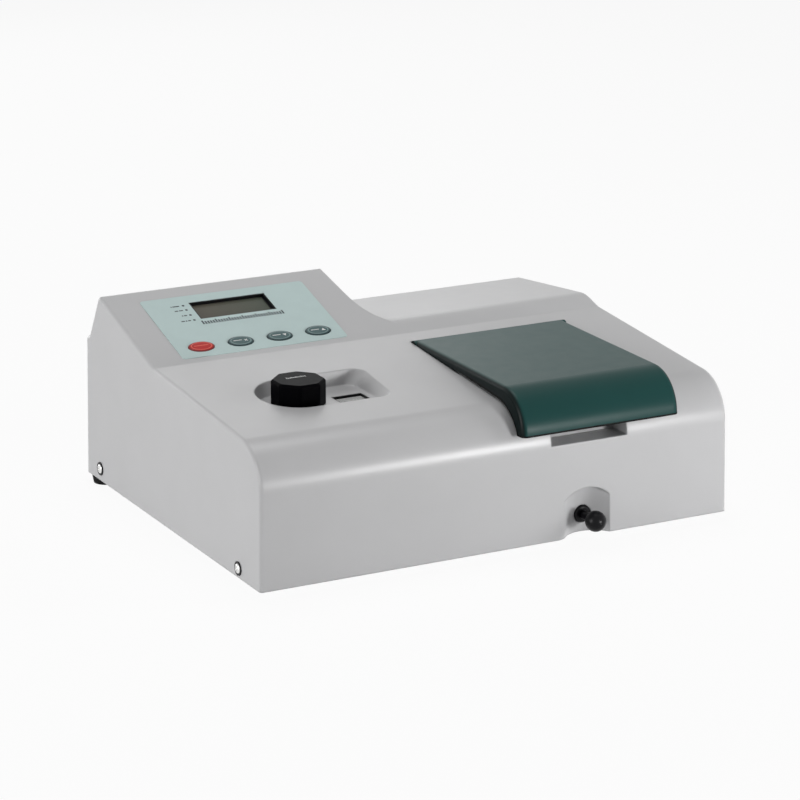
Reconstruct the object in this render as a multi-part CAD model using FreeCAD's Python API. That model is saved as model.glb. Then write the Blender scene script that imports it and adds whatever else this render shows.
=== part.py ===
import FreeCAD, Part
import math
import os

# Visible-light bench spectrophotometer, built as an assembly.
# Lengths are millimetres. The case frame has x from the left side, y from the front face
# towards the back and z from the lower edge of the case. finish() moves every piece so that
# the origin lies under the middle of the whole instrument, on the bench.

V = FreeCAD.Vector

# Overall form of the moulded case
case_width = 470.0
case_depth = 375.0
wall = 3.0
side_draft = 0.95
front_draft = 1.0
deck_height = 122.9
deck_slope = 4.4
front_round = 40.0
knee_y = 222.0
knee_round = 9.0
panel_slope = 16.8
ridge_inset = 29.0
ridge_round = 4.0
hump_back_inset = 6.5
crest_y = 246.0
crest_round = 40.0
roof_slope = 6.3
hump_width = 237.0
hump_side_draft = 9.5
hump_cove = 25.0
back_edge_round = 4.0
corner_round = 3.0

# Feet and base plate
foot_height = 8.0
foot_radius = 13.0
foot_taper = 1.5
foot_side_inset = 13.0
foot_back_inset = 13.6
foot_front_side_inset = 52.0
foot_front_inset = 56.0
foot_screw_radius = 2.0
foot_screw_head_radius = 3.8
foot_screw_head = 2.6
foot_recess_radius = 5.0
plate_thickness = 1.5
plate_gap = 0.4
plate_flange = 21.0
plate_slot_length = 60.0
plate_slot_width = 4.0
plate_slot_pitch = 9.0
plate_slot_count = 5

# Side screws and their cup washers
side_screw_front_y = 44.0
side_screw_front_z = 8.3
side_screw_back_inset = 31.4
side_screw_back_z = 11.3
side_screw_radius = 1.9
side_screw_head_radius = 4.3
side_screw_head = 2.2
side_screw_head_round = 1.2
side_screw_length = 9.0
cup_washer_radius = 6.3
cup_washer_thickness = 1.2
spot_face = 0.6

# Sample lid, hinged at its rear edge
lid_hump_gap = 14.0
lid_side_inset = 58.0
lid_top = 140.3
lid_front = -7.0
lid_bottom = 102.6
lid_wall = 2.5
lid_round = 38.0
lid_edge_round = 5.0
lid_gap = 0.6
lid_case_gap = 1.8
hinge_y = 194.5
hinge_nose = 5.5
hinge_clearance = 0.5
hinge_pin_radius = 1.5
hinge_pin_length = 18.0
hinge_pin_anchor = 4.2
running_clearance = 0.05
seat_clearance = 0.3

# Opening over the sample compartment
opening_margin = 13.0
opening_front = 37.0
opening_back = 184.0
bed_height = 131.0
bed_depth = 12.0
bed_front = 100.0
rim_width = 7.0
trough_floor = 4.0
seal_width = 4.0

# Finger slot below the lid
slot_width = 78.0
slot_shift = -7.5
slot_floor = 88.0
slot_depth = 25.0

# Scoop round the pull rod, with a soft edge on its left
scoop_shift = -1.75
scoop_radius = 27.7
scoop_depth = 13.0
scoop_half_width = 24.25
scoop_arch = 32.2
scoop_top = 45.0
scoop_blend = 12.0

# Pull rod, its knob and its bush
rod_shift = -7.0
rod_z = 16.5
rod_radius = 2.5
rod_travel = 48.0
rod_knob_radius = 9.5
rod_knob_centre = -11.0
rod_neck_radius = 4.0
rod_bush_flange_radius = 8.3
rod_bush_flange = 3.0
rod_bush_round = 2.5
rod_bush_radius = 5.5
rod_bush_length = 10.0
rod_bush_sink = 0.5

# Sample compartment and the four-cell carriage
tub_wall = 2.0
tub_floor = 8.0
tub_corner = 1.5
tub_leg_inset = 8.0
tub_flange = 4.0
tub_flange_thickness = 2.5
tub_leg_radius = 4.0
beam_y = 107.0
beam_z = 38.0
beam_radius = 7.0
cell_count = 4
cell_pitch = 16.0
cell_size = 12.8
cell_floor = 22.0
carriage_width = 28.0
carriage_end = 5.0
carriage_top = 60.0
cell_window_width = 8.0
cell_window_height = 24.0
rail_width = 4.0
rail_height = 5.0
rail_inset = 2.0

# Control panel on the steep plane, measured along the slope from the knee
membrane_left = 35.4
membrane_right = 201.5
membrane_low = 7.6
membrane_high = 110.0
membrane_thickness = 0.5
membrane_round = 3.5
lcd_left = 79.7
lcd_right = 157.1
lcd_low = 68.4
lcd_high = 98.2
lcd_frame = 5.0
lcd_lining = 1.2
lcd_glass_thickness = 2.0
led_x = 72.8
led_rows = (68.0, 77.1, 86.1, 93.9)
led_radius = 1.3
led_rim = 0.6
led_rim_height = 4.0
key_x = (59.9, 99.3, 138.7, 177.9)
key_row = 23.2
key_length = 25.3
key_width = 15.6
key_proud = 1.1
key_travel = 0.8
key_clearance = 0.35
key_flange = 1.2
key_stem_radius = 2.5
board_drop = 13.0
board_thickness = 1.6
board_post_radius = 3.2
switch_size = 6.0
switch_height_over_board = 5.0

# Recess, knob and window of the wavelength setting
recess_floor = 122.0
recess_floor_thickness = 2.5
recess_left = 56.5
recess_right = 178.0
recess_rise = 14.0
recess_half_width = 37.5
recess_corner = 13.0
recess_flare = 3.5
recess_right_flare = 12.0
knob_x = 96.0
knob_y = 120.0
knob_radius = 24.2
knob_flat = 22.9
knob_height = 22.6
knob_gap = 0.4
knob_chamfer = 1.8
knob_flats = 8
knob_bore = 15.0
bush_radius = 5.0
bush_flange_radius = 8.0
bush_flange = 1.2
bush_length = 8.0
shaft_radius = 3.0
window_left = 130.0
window_right = 160.0
window_front = 106.0
window_back = 124.0
window_lens_margin = 3.0
window_lens_thickness = 1.2

# Gear drive from the knob to the dial
gear_module = 1.5
pinion_teeth = 16
gear_teeth = 64
pressure_angle = 20.0
backlash = 0.24
gear_width = 4.0
pinion_width = 6.0
gear_angle = 24.6
dial_radius = 46.0
dial_thickness = 1.2
dial_drop = 1.7
gear_drop = 7.5
cam_drop = 13.0
cam_thickness = 3.0
cam_mean_radius = 22.0
cam_travel = 135.0
grating_travel = 9.0
roller_radius = 4.0
roller_gap = 0.2
lever_length = 58.0
lever_thickness = 2.4
lever_width = 9.0
drive_plate_thickness = 2.5
drive_post_radius = 4.0

# Monochromator
mono_left = 60.0
mono_lid_inset = 11.0
mono_front = 40.0
mono_back = 215.0
mono_wall = 4.0
mono_floor = 11.0
mono_leg = 6.5
mono_height = 70.0
mono_cover_thickness = 3.0
mono_round = 8.0
grating_size = 30.0
grating_thickness = 6.0
grating_shaft_radius = 4.0
grating_table_radius = 17.0
mirror_radius = 22.0
mirror_thickness = 8.0
mirror_y = 128.0
mirror_mount = 6.0
fold_mirror_inset = 35.0
fold_mirror_y = 150.0
fold_mirror_size = 24.0
lamp_y = 262.0
slit_plate = 16.0
slit_thickness = 1.0
slit_width = 0.8
slit_height = 10.0
beam_tube_wall = 2.0

# Lamp house
lamp_house_width = 66.0
lamp_front = 224.0
lamp_back = 300.0
lamp_top = 86.0
sheet = 1.2
lamp_radius = 6.0
lamp_length = 26.0
lens_radius = 11.0
lens_thickness = 6.0

# Detector box
detector_length = 46.0
detector_width = 44.0
detector_low = 18.0
detector_high = 60.0
detector_wall = 2.5
photodiode_radius = 6.0
photodiode_thickness = 4.0

# Rear panel with its power inlet, switch, fuse and data socket
panel_side_inset = 22.0
panel_width = 176.0
panel_low = 9.0
panel_high = 72.0
panel_margin = 9.0
panel_screw_radius = 1.5
panel_screw_head_radius = 2.8
panel_screw_head = 1.8
panel_screw_length = 6.5
panel_thickness = 1.5
inlet_panel_inset = 36.0
inlet_z = 40.0
inlet_width = 48.0
inlet_height = 27.0
inlet_flange = 3.0
inlet_body_depth = 20.0
inlet_mouth_width = 24.5
inlet_mouth_height = 17.0
inlet_mouth_depth = 16.5
inlet_pin_length = 12.0
inlet_pin_pitch = 7.0
inlet_switch_pitch = 40.0
switch_z = 40.0
switch_width = 19.0
switch_height = 28.0
switch_body_depth = 18.0
switch_bezel = 2.0
rocker_tilt = 11.0
rocker_half_length = 8.0
rocker_width = 14.4
rocker_height = 6.5
rocker_depth = 4.0
rocker_pivot_depth = 4.0
rocker_clearance = 0.35
switch_fuse_pitch = 32.0
fuse_z = 40.0
fuse_radius = 6.5
fuse_length = 34.0
fuse_cap_radius = 8.0
fuse_cap = 6.0
fuse_cap_chamfer = 0.8
fuse_data_pitch = 37.0
data_z = 40.0
data_width = 31.0
data_height = 12.5
data_shell_width = 18.0
data_shell_height = 8.5
jack_pitch = 25.0
jack_radius = 2.2
vent_length = 100.0
vent_panel_gap = 22.0
vent_low = 40.0
vent_count = 7
vent_pitch = 9.0
vent_height = 4.0

# Electronics on the base plate
board_side_inset = 14.0
board_width = 98.0
board_front = 205.0
board_back_inset = 35.0
standoff_height = 10.0
standoff_radius = 3.0
capacitor_radius = 9.0
capacitor_height = 28.0
small_capacitor_radius = 5.0
small_capacitor_height = 14.0
chip_height = 4.0
header_height = 9.0
transformer_shift = 2.0
transformer_y = 250.0
transformer_width = 62.0
transformer_depth = 52.0
transformer_height = 52.0
transformer_yoke = 11.0
transformer_side_limb = 9.0

# Values worked out from those above
TAN_FRONT = math.tan(math.radians(front_draft))
TAN_SIDE = math.tan(math.radians(side_draft))
TAN_DECK = math.tan(math.radians(deck_slope))
TAN_PANEL = math.tan(math.radians(panel_slope))
TAN_ROOF = math.tan(math.radians(roof_slope))
knee_z = deck_height + knee_y * TAN_DECK
ridge_y = case_depth - ridge_inset
hump_back_y = case_depth - hump_back_inset
ridge_z = knee_z + (ridge_y - knee_y) * TAN_PANEL
crest_z = knee_z + (crest_y - knee_y) * TAN_PANEL
side_screw_places = (
    (side_screw_front_y, side_screw_front_z),
    (case_depth - side_screw_back_inset, side_screw_back_z),
)
lid_left = hump_width + lid_hump_gap
lid_right = case_width - lid_side_inset
lid_middle = (lid_left + lid_right) / 2
opening_left = lid_left + opening_margin
opening_right = lid_right - opening_margin
slot_left = lid_middle + slot_shift - slot_width / 2
slot_right = lid_middle + slot_shift + slot_width / 2
rod_x = lid_middle + rod_shift
scoop_centre = rod_x + scoop_shift
hinge_z = lid_top - hinge_nose
knob_base = recess_floor + knob_gap
gear_radius = gear_module * gear_teeth / 2
pinion_radius = gear_module * pinion_teeth / 2
gear_distance = gear_radius + pinion_radius
dial_x = knob_x + gear_distance * math.cos(math.radians(gear_angle))
dial_y = knob_y + gear_distance * math.sin(math.radians(gear_angle))
recess_under = recess_floor - recess_floor_thickness
dial_top = recess_under - dial_drop
gear_top = recess_under - gear_drop
cam_top = recess_under - cam_drop
lever_top = cam_top - cam_thickness - 0.6
plate_top = lever_top - lever_thickness - 1.5
grating_ratio = grating_travel / cam_travel
knob_ratio = -gear_teeth / pinion_teeth
roller_centre = cam_mean_radius + roller_radius + roller_gap
grating_x = dial_x + roller_centre
grating_y = dial_y - lever_length
mono_right = lid_left - mono_lid_inset
fold_mirror_x = mono_right - fold_mirror_inset
lamp_left = fold_mirror_x - lamp_house_width / 2
lamp_right = fold_mirror_x + lamp_house_width / 2
carriage_length = cell_count * cell_pitch + 2 * carriage_end
carriage_front = beam_y - cell_pitch / 2 - carriage_end
carriage_bottom = tub_floor + seat_clearance
rod_bush_seat = scoop_depth + rod_bush_sink
tub_top = bed_height - bed_depth
panel_face = case_depth - wall
panel_right = case_width - panel_side_inset
panel_left = panel_right - panel_width
inlet_x = panel_right - inlet_panel_inset
switch_x = inlet_x - inlet_switch_pitch
fuse_x = switch_x - switch_fuse_pitch
data_x = fuse_x - fuse_data_pitch
vent_right = panel_left - vent_panel_gap
vent_left = vent_right - vent_length
board_right = case_width - board_side_inset
board_left = board_right - board_width
board_back = case_depth - board_back_inset
transformer_x = (lamp_right + board_left) / 2 + transformer_shift
back_most = panel_face + fuse_cap
front_most = rod_knob_centre - rod_knob_radius


def line(a, b):
    return Part.LineSegment(a, b).toShape()


def plane_point(plane, a, b, level):
    """A point of a sketch plane: yz, xz or xy, at the given level along its normal."""
    if plane == "yz":
        return V(level, a, b)
    if plane == "xz":
        return V(a, level, b)
    return V(a, b, level)


def rounded_wire(plane, corners, level=0.0):
    """A closed wire through corners (a, b, radius), with a tangent arc at each radius."""
    arcs = []
    count = len(corners)
    for i in range(count):
        a, b, radius = corners[i]
        here = V(a, b, 0)
        before = V(corners[i - 1][0], corners[i - 1][1], 0) - here
        after = V(corners[(i + 1) % count][0], corners[(i + 1) % count][1], 0) - here
        before.normalize()
        after.normalize()
        if radius <= 0:
            arcs.append((here, None, here))
            continue
        half = before.getAngle(after) / 2
        reach = radius / math.tan(half)
        middle = before + after
        middle.normalize()
        inner = here + middle * (radius / math.sin(half) - radius)
        arcs.append((here + before * reach, inner, here + after * reach))
    edges = []
    for i in range(count):
        start, inner, end = arcs[i]
        if inner is not None:
            points = [plane_point(plane, p.x, p.y, level) for p in (start, inner, end)]
            edges.append(Part.Arc(*points).toShape())
        following = arcs[(i + 1) % count][0]
        if (following - end).Length > 1e-6:
            here = plane_point(plane, end.x, end.y, level)
            edges.append(line(here, plane_point(plane, following.x, following.y, level)))
    return Part.Wire(edges)


def prism(plane, corners, low, high):
    """A solid of the rounded outline between two levels along the plane's normal."""
    face = Part.Face(rounded_wire(plane, corners, low))
    direction = plane_point(plane, 0, 0, high - low)
    return face.extrude(direction)


def block(x0, x1, y0, y1, z0, z1):
    return Part.makeBox(x1 - x0, y1 - y0, z1 - z0, V(x0, y0, z0))


def rod(radius, start, direction, length):
    return Part.makeCylinder(radius, length, start, direction)


def upright(radius, x, y, z0, z1):
    return Part.makeCylinder(radius, z1 - z0, V(x, y, z0), V(0, 0, 1))


def ring(outer, inner, x, y, z0, z1):
    return upright(outer, x, y, z0, z1).cut(upright(inner, x, y, z0 - 1, z1 + 1))


def rectangle(a0, a1, b0, b1, radius):
    return [(a0, b0, radius), (a1, b0, radius), (a1, b1, radius), (a0, b1, radius)]


def on_panel(shape):
    """Moves a shape drawn flat (x across, y up the slope, z outwards) onto the steep plane."""
    shape.rotate(V(0, 0, 0), V(1, 0, 0), panel_slope)
    shape.translate(V(0, knee_y, knee_z))
    return shape


def rounded_edges(shape, radius, wanted):
    edges = [edge for edge in shape.Edges if wanted(edge)]
    return shape.makeFillet(radius, edges)


# Moulded case

skirt_depth = 20.0
sky = 60.0
hair = 0.01
roof_depth = crest_round - 2.0


def roof_height(y):
    return crest_z - (y - crest_y) * TAN_ROOF


def side_profile():
    """Side view of the highest form: front, deck, steep plane, ridge and back."""
    foot_y = -skirt_depth * TAN_FRONT
    front_top = deck_height / (1 - TAN_FRONT * TAN_DECK)
    return [
        (foot_y, -skirt_depth, 0),
        (front_top * TAN_FRONT, front_top, front_round),
        (knee_y, knee_z, knee_round),
        (ridge_y, ridge_z, ridge_round),
        (hump_back_y, roof_height(hump_back_y), back_edge_round),
        (case_depth, roof_height(case_depth), back_edge_round),
        (case_depth, -skirt_depth, 0),
    ]


def front_profile():
    """Front view: two drafted sides that lean in towards the top."""
    top = ridge_z + sky
    lean = top * TAN_SIDE
    spread = skirt_depth * TAN_SIDE
    return [
        (-spread, -skirt_depth, 0),
        (case_width + spread, -skirt_depth, 0),
        (case_width - lean, top, 0),
        (lean, top, 0),
    ]


def cove_section(inset):
    """Section across the roof: the side of the raised part, its cove and the flat roof."""
    lean = math.tan(math.radians(hump_side_draft))
    offset = inset / math.cos(math.radians(hump_side_draft)) + inset * lean
    foot = hump_width - offset
    return [
        (-sky, -roof_depth, 0),
        (case_width + sky, -roof_depth, 0),
        (case_width + sky, -inset, 0),
        (foot, -inset, hump_cove + inset),
        (foot - (sky + inset) * lean, sky, 0),
        (-sky, sky, 0),
    ]


def roof_form(inset):
    """Everything below the roof, its rounded crest and the side of the raised part."""
    turn = panel_slope + roof_slope
    reach = crest_round * math.tan(math.radians(turn / 2))
    slope = math.radians(panel_slope)
    start = V(0, crest_y - reach * math.cos(slope), crest_z - reach * math.sin(slope))
    centre = start + V(0, math.sin(slope), -math.cos(slope)) * crest_round
    section = Part.Face(rounded_wire("xz", cove_section(inset)))
    section.rotate(V(0, 0, 0), V(1, 0, 0), panel_slope)
    section.translate(start)
    crest = section.revolve(centre, V(1, 0, 0), -turn)
    last = section.copy()
    last.rotate(centre, V(1, 0, 0), -turn)
    fall = math.radians(roof_slope)
    rear = last.extrude(V(0, math.cos(fall), -math.sin(fall)) * case_depth)
    front = block(-sky, case_width + sky, -case_depth, 0, -ridge_z, sky)
    front.rotate(V(0, 0, 0), V(1, 0, 0), panel_slope)
    front.translate(start)
    bulk_top = crest_z - roof_depth * 0.8
    bulk = block(-sky, case_width + sky, 0, case_depth + sky, -ridge_z, bulk_top)
    return front.fuse([crest, rear, bulk]).removeSplitter()


def case_form(inset):
    """The closed form of the case, every face moved in by the inset."""
    side = rounded_wire("yz", side_profile(), -sky)
    front = rounded_wire("xz", front_profile(), -sky)
    if inset > 0:
        side = side.makeOffset2D(-inset)
        front = front.makeOffset2D(-inset)
    long_form = Part.Face(side).extrude(V(case_width + 2 * sky, 0, 0))
    cross_form = Part.Face(front).extrude(V(0, case_depth + 2 * sky, 0))
    return long_form.common([cross_form]).common([roof_form(inset)])


def on_side_edge(edge):
    box = edge.BoundBox
    across = (box.XMin + box.XMax) / 2
    return box.XLength < wall and box.ZMax > 0 and not wall * 2 < across < case_width - wall * 2


def recess_form(grow, floor_grow):
    """The wavelength recess: a flared tray with a round left end and a sloping right wall."""
    wires = []
    for level, flare, right_flare in (
        (recess_floor - floor_grow, recess_flare, recess_right_flare),
        (recess_floor + recess_rise, 0.0, 0.0),
    ):
        left = recess_left + flare - grow
        right = recess_right - right_flare + grow
        half = recess_half_width - flare + grow
        corner = recess_corner - flare + grow
        outline = [
            (left, knob_y - half, half),
            (right, knob_y - half, corner),
            (right, knob_y + half, corner),
            (left, knob_y + half, half),
        ]
        wires.append(rounded_wire("xy", outline, level))
    return Part.makeLoft(wires, True, True)


def slot_form(grow):
    left = slot_left - grow
    right = slot_right + grow
    return block(left, right, -sky, slot_depth + grow, slot_floor - grow, lid_top)


def scoop_form(grow):
    """A round scoop below an arched top, open at the bottom, blended into the front on its left."""
    low = -skirt_depth
    drum_radius = scoop_radius + grow
    blend_radius = scoop_blend - grow
    drum = V(scoop_centre, scoop_depth - scoop_radius, low)
    between = scoop_radius + scoop_blend
    rise = scoop_blend - hair - drum.y
    reach = math.sqrt(between ** 2 - rise ** 2)
    blend = drum + V(-reach, rise, 0)
    towards = drum - blend
    towards.normalize()
    halfway = towards + V(0, -1, 0)
    halfway.normalize()
    blend_start = blend - V(0, blend_radius, 0)
    meeting = blend + towards * blend_radius
    drum_end = drum + V(drum_radius, 0, 0)
    front_right = V(drum_end.x, -sky, low)
    front_left = V(blend.x, -sky, low)
    plan = Part.Wire([
        Part.Arc(blend_start, blend + halfway * blend_radius, meeting).toShape(),
        Part.Arc(meeting, drum + V(0, drum_radius, 0), drum_end).toShape(),
        line(drum_end, front_right),
        line(front_right, front_left),
        line(front_left, blend_start),
    ])
    scoop = Part.Face(plan).extrude(V(0, 0, 2 * sky))
    arch_z = scoop_top - scoop_arch
    arch_radius = scoop_arch + grow
    left = reach + 0.5
    right = scoop_half_width + grow
    left_foot = V(scoop_centre - left, -sky, low)
    right_foot = V(scoop_centre + right, -sky, low)
    left_spring = V(left_foot.x, -sky, arch_z + math.sqrt(arch_radius ** 2 - left ** 2))
    right_spring = V(right_foot.x, -sky, arch_z + math.sqrt(arch_radius ** 2 - right ** 2))
    outline = Part.Wire([
        line(left_foot, left_spring),
        Part.Arc(left_spring, V(scoop_centre, -sky, scoop_top + grow), right_spring).toShape(),
        line(right_spring, right_foot),
        line(right_foot, left_foot),
    ])
    tunnel = Part.Face(outline).extrude(V(0, 2 * sky, 0))
    return scoop.common(tunnel)


def ellipse_prism(x, y, length, width, low, high):
    curve = Part.Ellipse(V(x, y, low), length / 2, width / 2)
    return Part.Face(Part.Wire(curve.toShape())).extrude(V(0, 0, high - low))


def hinge_bosses():
    return [
        rod(hinge_nose - 0.5, V(x, hinge_y, hinge_z), V(1, 0, 0), 3 * wall)
        for x in (lid_left - lid_gap - 3 * wall, lid_right + lid_gap)
    ]


def hinge_pin_shapes(radius):
    left = lid_left - lid_gap - hinge_pin_anchor
    right = lid_right + lid_gap + hinge_pin_anchor - hinge_pin_length
    return [rod(radius, V(x, hinge_y, hinge_z), V(1, 0, 0), hinge_pin_length) for x in (left, right)]


def lid_bed():
    """What is cut away above the bed that the lid closes onto, with the trough of its hinge."""
    left = lid_left - lid_gap
    right = lid_right + lid_gap
    trough = hinge_nose + hinge_clearance
    return [
        block(left, right, 0, hinge_y, bed_height, lid_top + sky),
        block(left, right, hinge_y - 1, hinge_y + trough, hinge_z, lid_top + sky),
        rod(trough, V(left, hinge_y, hinge_z), V(1, 0, 0), right - left),
    ]


def board_post_places():
    inset = 7.0
    return [
        (x, y)
        for x in (membrane_left + inset, membrane_right - inset)
        for y in (membrane_low + inset, membrane_high - inset)
    ]


def panel_cutouts():
    """Openings of the steep plane for the display, the keys and the lamps, drawn flat."""
    deep = wall + 1
    cuts = [block(lcd_left, lcd_right, lcd_low, lcd_high, -deep, 1)]
    for x in key_x:
        length = key_length + 2 * key_clearance
        width = key_width + 2 * key_clearance
        cuts.append(ellipse_prism(x, key_row, length, width, -deep, 1))
    for y in led_rows:
        cuts.append(upright(led_radius, led_x, y, -deep, 1))
    return cuts


def side_screw_frames():
    """The outer end of each side screw and the direction that it points in."""
    frames = []
    for y, z in side_screw_places:
        frames.append((V(spot_face, y, z), V(1, 0, 0)))
        frames.append((V(case_width - spot_face, y, z), V(-1, 0, 0)))
    return frames


def rear_screw_places():
    inset = panel_margin / 2
    return [
        (x, z)
        for x in (panel_left + inset, panel_right - inset)
        for z in (panel_low + inset, panel_high - inset)
    ]


def make_top_case():
    outer = rounded_edges(case_form(0), corner_round, on_side_edge)
    below = block(-sky, case_width + sky, -sky, case_depth + sky, -2 * skirt_depth, 0)
    shell = outer.cut([case_form(wall), below])
    bed_left = lid_left - lid_gap - wall
    bed_right = lid_right + lid_gap + wall
    bed_back = hinge_y + hinge_nose + hinge_clearance + wall
    inside = [
        recess_form(wall, recess_floor_thickness),
        slot_form(wall),
        scoop_form(wall).cut(below),
        block(bed_left, bed_right, bed_front, bed_back, hinge_z - hinge_nose - trough_floor, lid_top),
    ]
    posts = [upright(board_post_radius, x, y, -board_drop, -wall / 2) for x, y in board_post_places()]
    inside += hinge_bosses()
    shell = shell.fuse([piece.common(outer) for piece in inside] + [on_panel(post) for post in posts])
    rim = block(
        opening_left - rim_width, opening_right + rim_width,
        opening_front - rim_width, opening_back + rim_width, tub_top, bed_height,
    )
    shell = shell.fuse([rim])
    cuts = [
        recess_form(0, 0),
        slot_form(0),
        scoop_form(0),
        block(opening_left, opening_right, opening_front, opening_back, tub_top - 1, lid_top + sky),
        block(window_left, window_right, window_front, window_back, recess_under - 1, recess_floor + 1),
        upright(bush_radius, knob_x, knob_y, recess_under - 1, recess_floor + 1),
        upright(bush_flange_radius + 0.2, knob_x, knob_y, recess_floor - bush_flange, recess_floor + 1),
        rod(rod_bush_flange_radius + 0.2, V(rod_x, 0, rod_z), V(0, 1, 0), rod_bush_seat),
        rod(rod_bush_radius, V(rod_x, 0, rod_z), V(0, 1, 0), scoop_depth + 2 * wall),
        block(
            panel_left + panel_margin, panel_right - panel_margin, case_depth - 2 * wall, case_depth + 1,
            panel_low + panel_margin, panel_high - panel_margin,
        ),
    ]
    cuts += lid_bed()
    cuts += hinge_pin_shapes(hinge_pin_radius)
    cuts += [on_panel(cut) for cut in panel_cutouts()]
    cuts += [
        on_panel(upright(panel_screw_radius, x, y, -board_drop - 1, -wall)) for x, y in board_post_places()
    ]
    for row in range(vent_count):
        low = vent_low + row * vent_pitch
        slot = rectangle(vent_left, vent_right, low, low + vent_height, vent_height / 2 - 0.01)
        cuts.append(prism("xz", slot, case_depth - 2 * wall, case_depth + 1))
    for x, z in rear_screw_places():
        cuts.append(rod(panel_screw_radius, V(x, case_depth + 1, z), V(0, -1, 0), 2 * wall))
    for start, inward in side_screw_frames():
        cuts.append(rod(cup_washer_radius + 0.2, start - inward * 5, inward, 5))
        cuts.append(rod(side_screw_radius, start, inward, 2 * wall))
    return shell.cut(cuts).removeSplitter()


# Base plate, feet and their fasteners

def foot_places():
    back = case_depth - foot_back_inset
    return [
        (foot_side_inset, back),
        (case_width - foot_side_inset, back),
        (foot_front_side_inset, foot_front_inset),
        (case_width - foot_front_side_inset, foot_front_inset),
    ]


def make_base_plate():
    edge = wall + plate_gap
    left = edge
    right = case_width - edge
    front = edge
    back = case_depth - edge
    plate = prism("xy", rectangle(left, right, front, back, 3.0), 0, plate_thickness)
    lean = plate_flange * TAN_SIDE
    flanges = []
    for side in (0, 1):
        outline = [
            (left, plate_thickness / 2, 0),
            (left + plate_thickness, plate_thickness / 2, 0),
            (left + plate_thickness + lean, plate_flange, 0),
            (left + lean, plate_flange, 0),
        ]
        flange = prism("xz", outline, front + corner_round, back - corner_round)
        if side:
            flange = flange.mirror(V(case_width / 2, 0, 0), V(1, 0, 0))
        flanges.append(flange)
    plate = plate.fuse(flanges + board_standoffs())
    cuts = [scoop_form(wall + plate_gap)]
    for start, inward in side_screw_frames():
        cuts.append(rod(side_screw_radius, start, inward, 3 * wall))
    for x, y in foot_places():
        cuts.append(upright(foot_screw_radius, x, y, -1, plate_thickness + 1))
    under_lamp = (lamp_left, lamp_back + plate_slot_pitch)
    behind_core = transformer_y + transformer_depth / 2 + plate_slot_pitch
    for left_end, first in (under_lamp, (transformer_x - plate_slot_length / 2, behind_core)):
        for row in range(plate_slot_count):
            low = first + row * plate_slot_pitch
            slot = rectangle(
                left_end, left_end + plate_slot_length,
                low, low + plate_slot_width,
                plate_slot_width / 2 - 0.01,
            )
            cuts.append(prism("xy", slot, -1, plate_thickness + 1))
    return plate.cut(cuts).removeSplitter()


def make_rubber_feet():
    feet = []
    for x, y in foot_places():
        bottom = V(x, y, -foot_height)
        foot = Part.makeCone(foot_radius - foot_taper, foot_radius, foot_height, bottom, V(0, 0, 1))
        recess = upright(foot_recess_radius, x, y, -foot_height - 1, -foot_height / 2)
        hole = upright(foot_screw_radius, x, y, -foot_height, 1)
        feet.append(foot.cut([recess, hole]))
    return Part.makeCompound(feet)


def make_foot_screws():
    screws = []
    for x, y in foot_places():
        seat = -foot_height / 2
        head = upright(foot_screw_head_radius, x, y, seat - foot_screw_head, seat)
        screws.append(head.fuse([upright(foot_screw_radius, x, y, seat, plate_thickness + 2)]))
    return Part.makeCompound(screws)


def make_side_screws():
    screws = []
    for start, inward in side_screw_frames():
        seat = start - inward * (cup_washer_thickness / 3)
        dome = rod(side_screw_head_radius, seat - inward * side_screw_head, inward, side_screw_head)
        rim = [edge for edge in dome.Edges if is_outer_rim(edge, seat, inward)]
        dome = dome.makeFillet(side_screw_head_round, rim)
        screws.append(dome.fuse([rod(side_screw_radius, seat, inward, side_screw_length)]))
    return Part.makeCompound(screws)


def is_outer_rim(edge, seat, inward):
    """A round edge that lies outside the seat, seen along the screw."""
    middle = edge.BoundBox.Center - seat
    return edge.BoundBox.XLength < 0.01 and middle.dot(inward) < -0.5


def make_side_screw_washers():
    washers = []
    for start, inward in side_screw_frames():
        outer_face = start - inward * cup_washer_thickness
        cup = rod(cup_washer_radius, outer_face, inward, cup_washer_thickness)
        bore = rod(side_screw_radius, outer_face, inward, cup_washer_thickness)
        well = rod(side_screw_head_radius + 0.1, outer_face, inward, cup_washer_thickness * 2 / 3)
        washers.append(cup.cut([bore, well]))
    return Part.makeCompound(washers)


# Sample lid, its seal and its hinge pins

def lid_form(inset):
    """The closed form of the lid: flat top, round front and softly rounded side edges."""
    top = lid_top - inset
    outline = [
        (lid_front + inset, slot_floor - inset, 0),
        (lid_front + inset, top, lid_round - inset),
        (hinge_y, top, 0),
        (hinge_y, slot_floor - inset, 0),
    ]
    form = prism("yz", outline, lid_left + inset, lid_right - inset)

    def over_side(edge):
        """An edge of a side that isn't the lower one or the upright one at the back."""
        box = edge.BoundBox
        return box.XLength < 0.01 and box.ZMax > slot_floor and box.YMin < hinge_y - 1

    return rounded_edges(form, lid_edge_round - inset, over_side)


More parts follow.
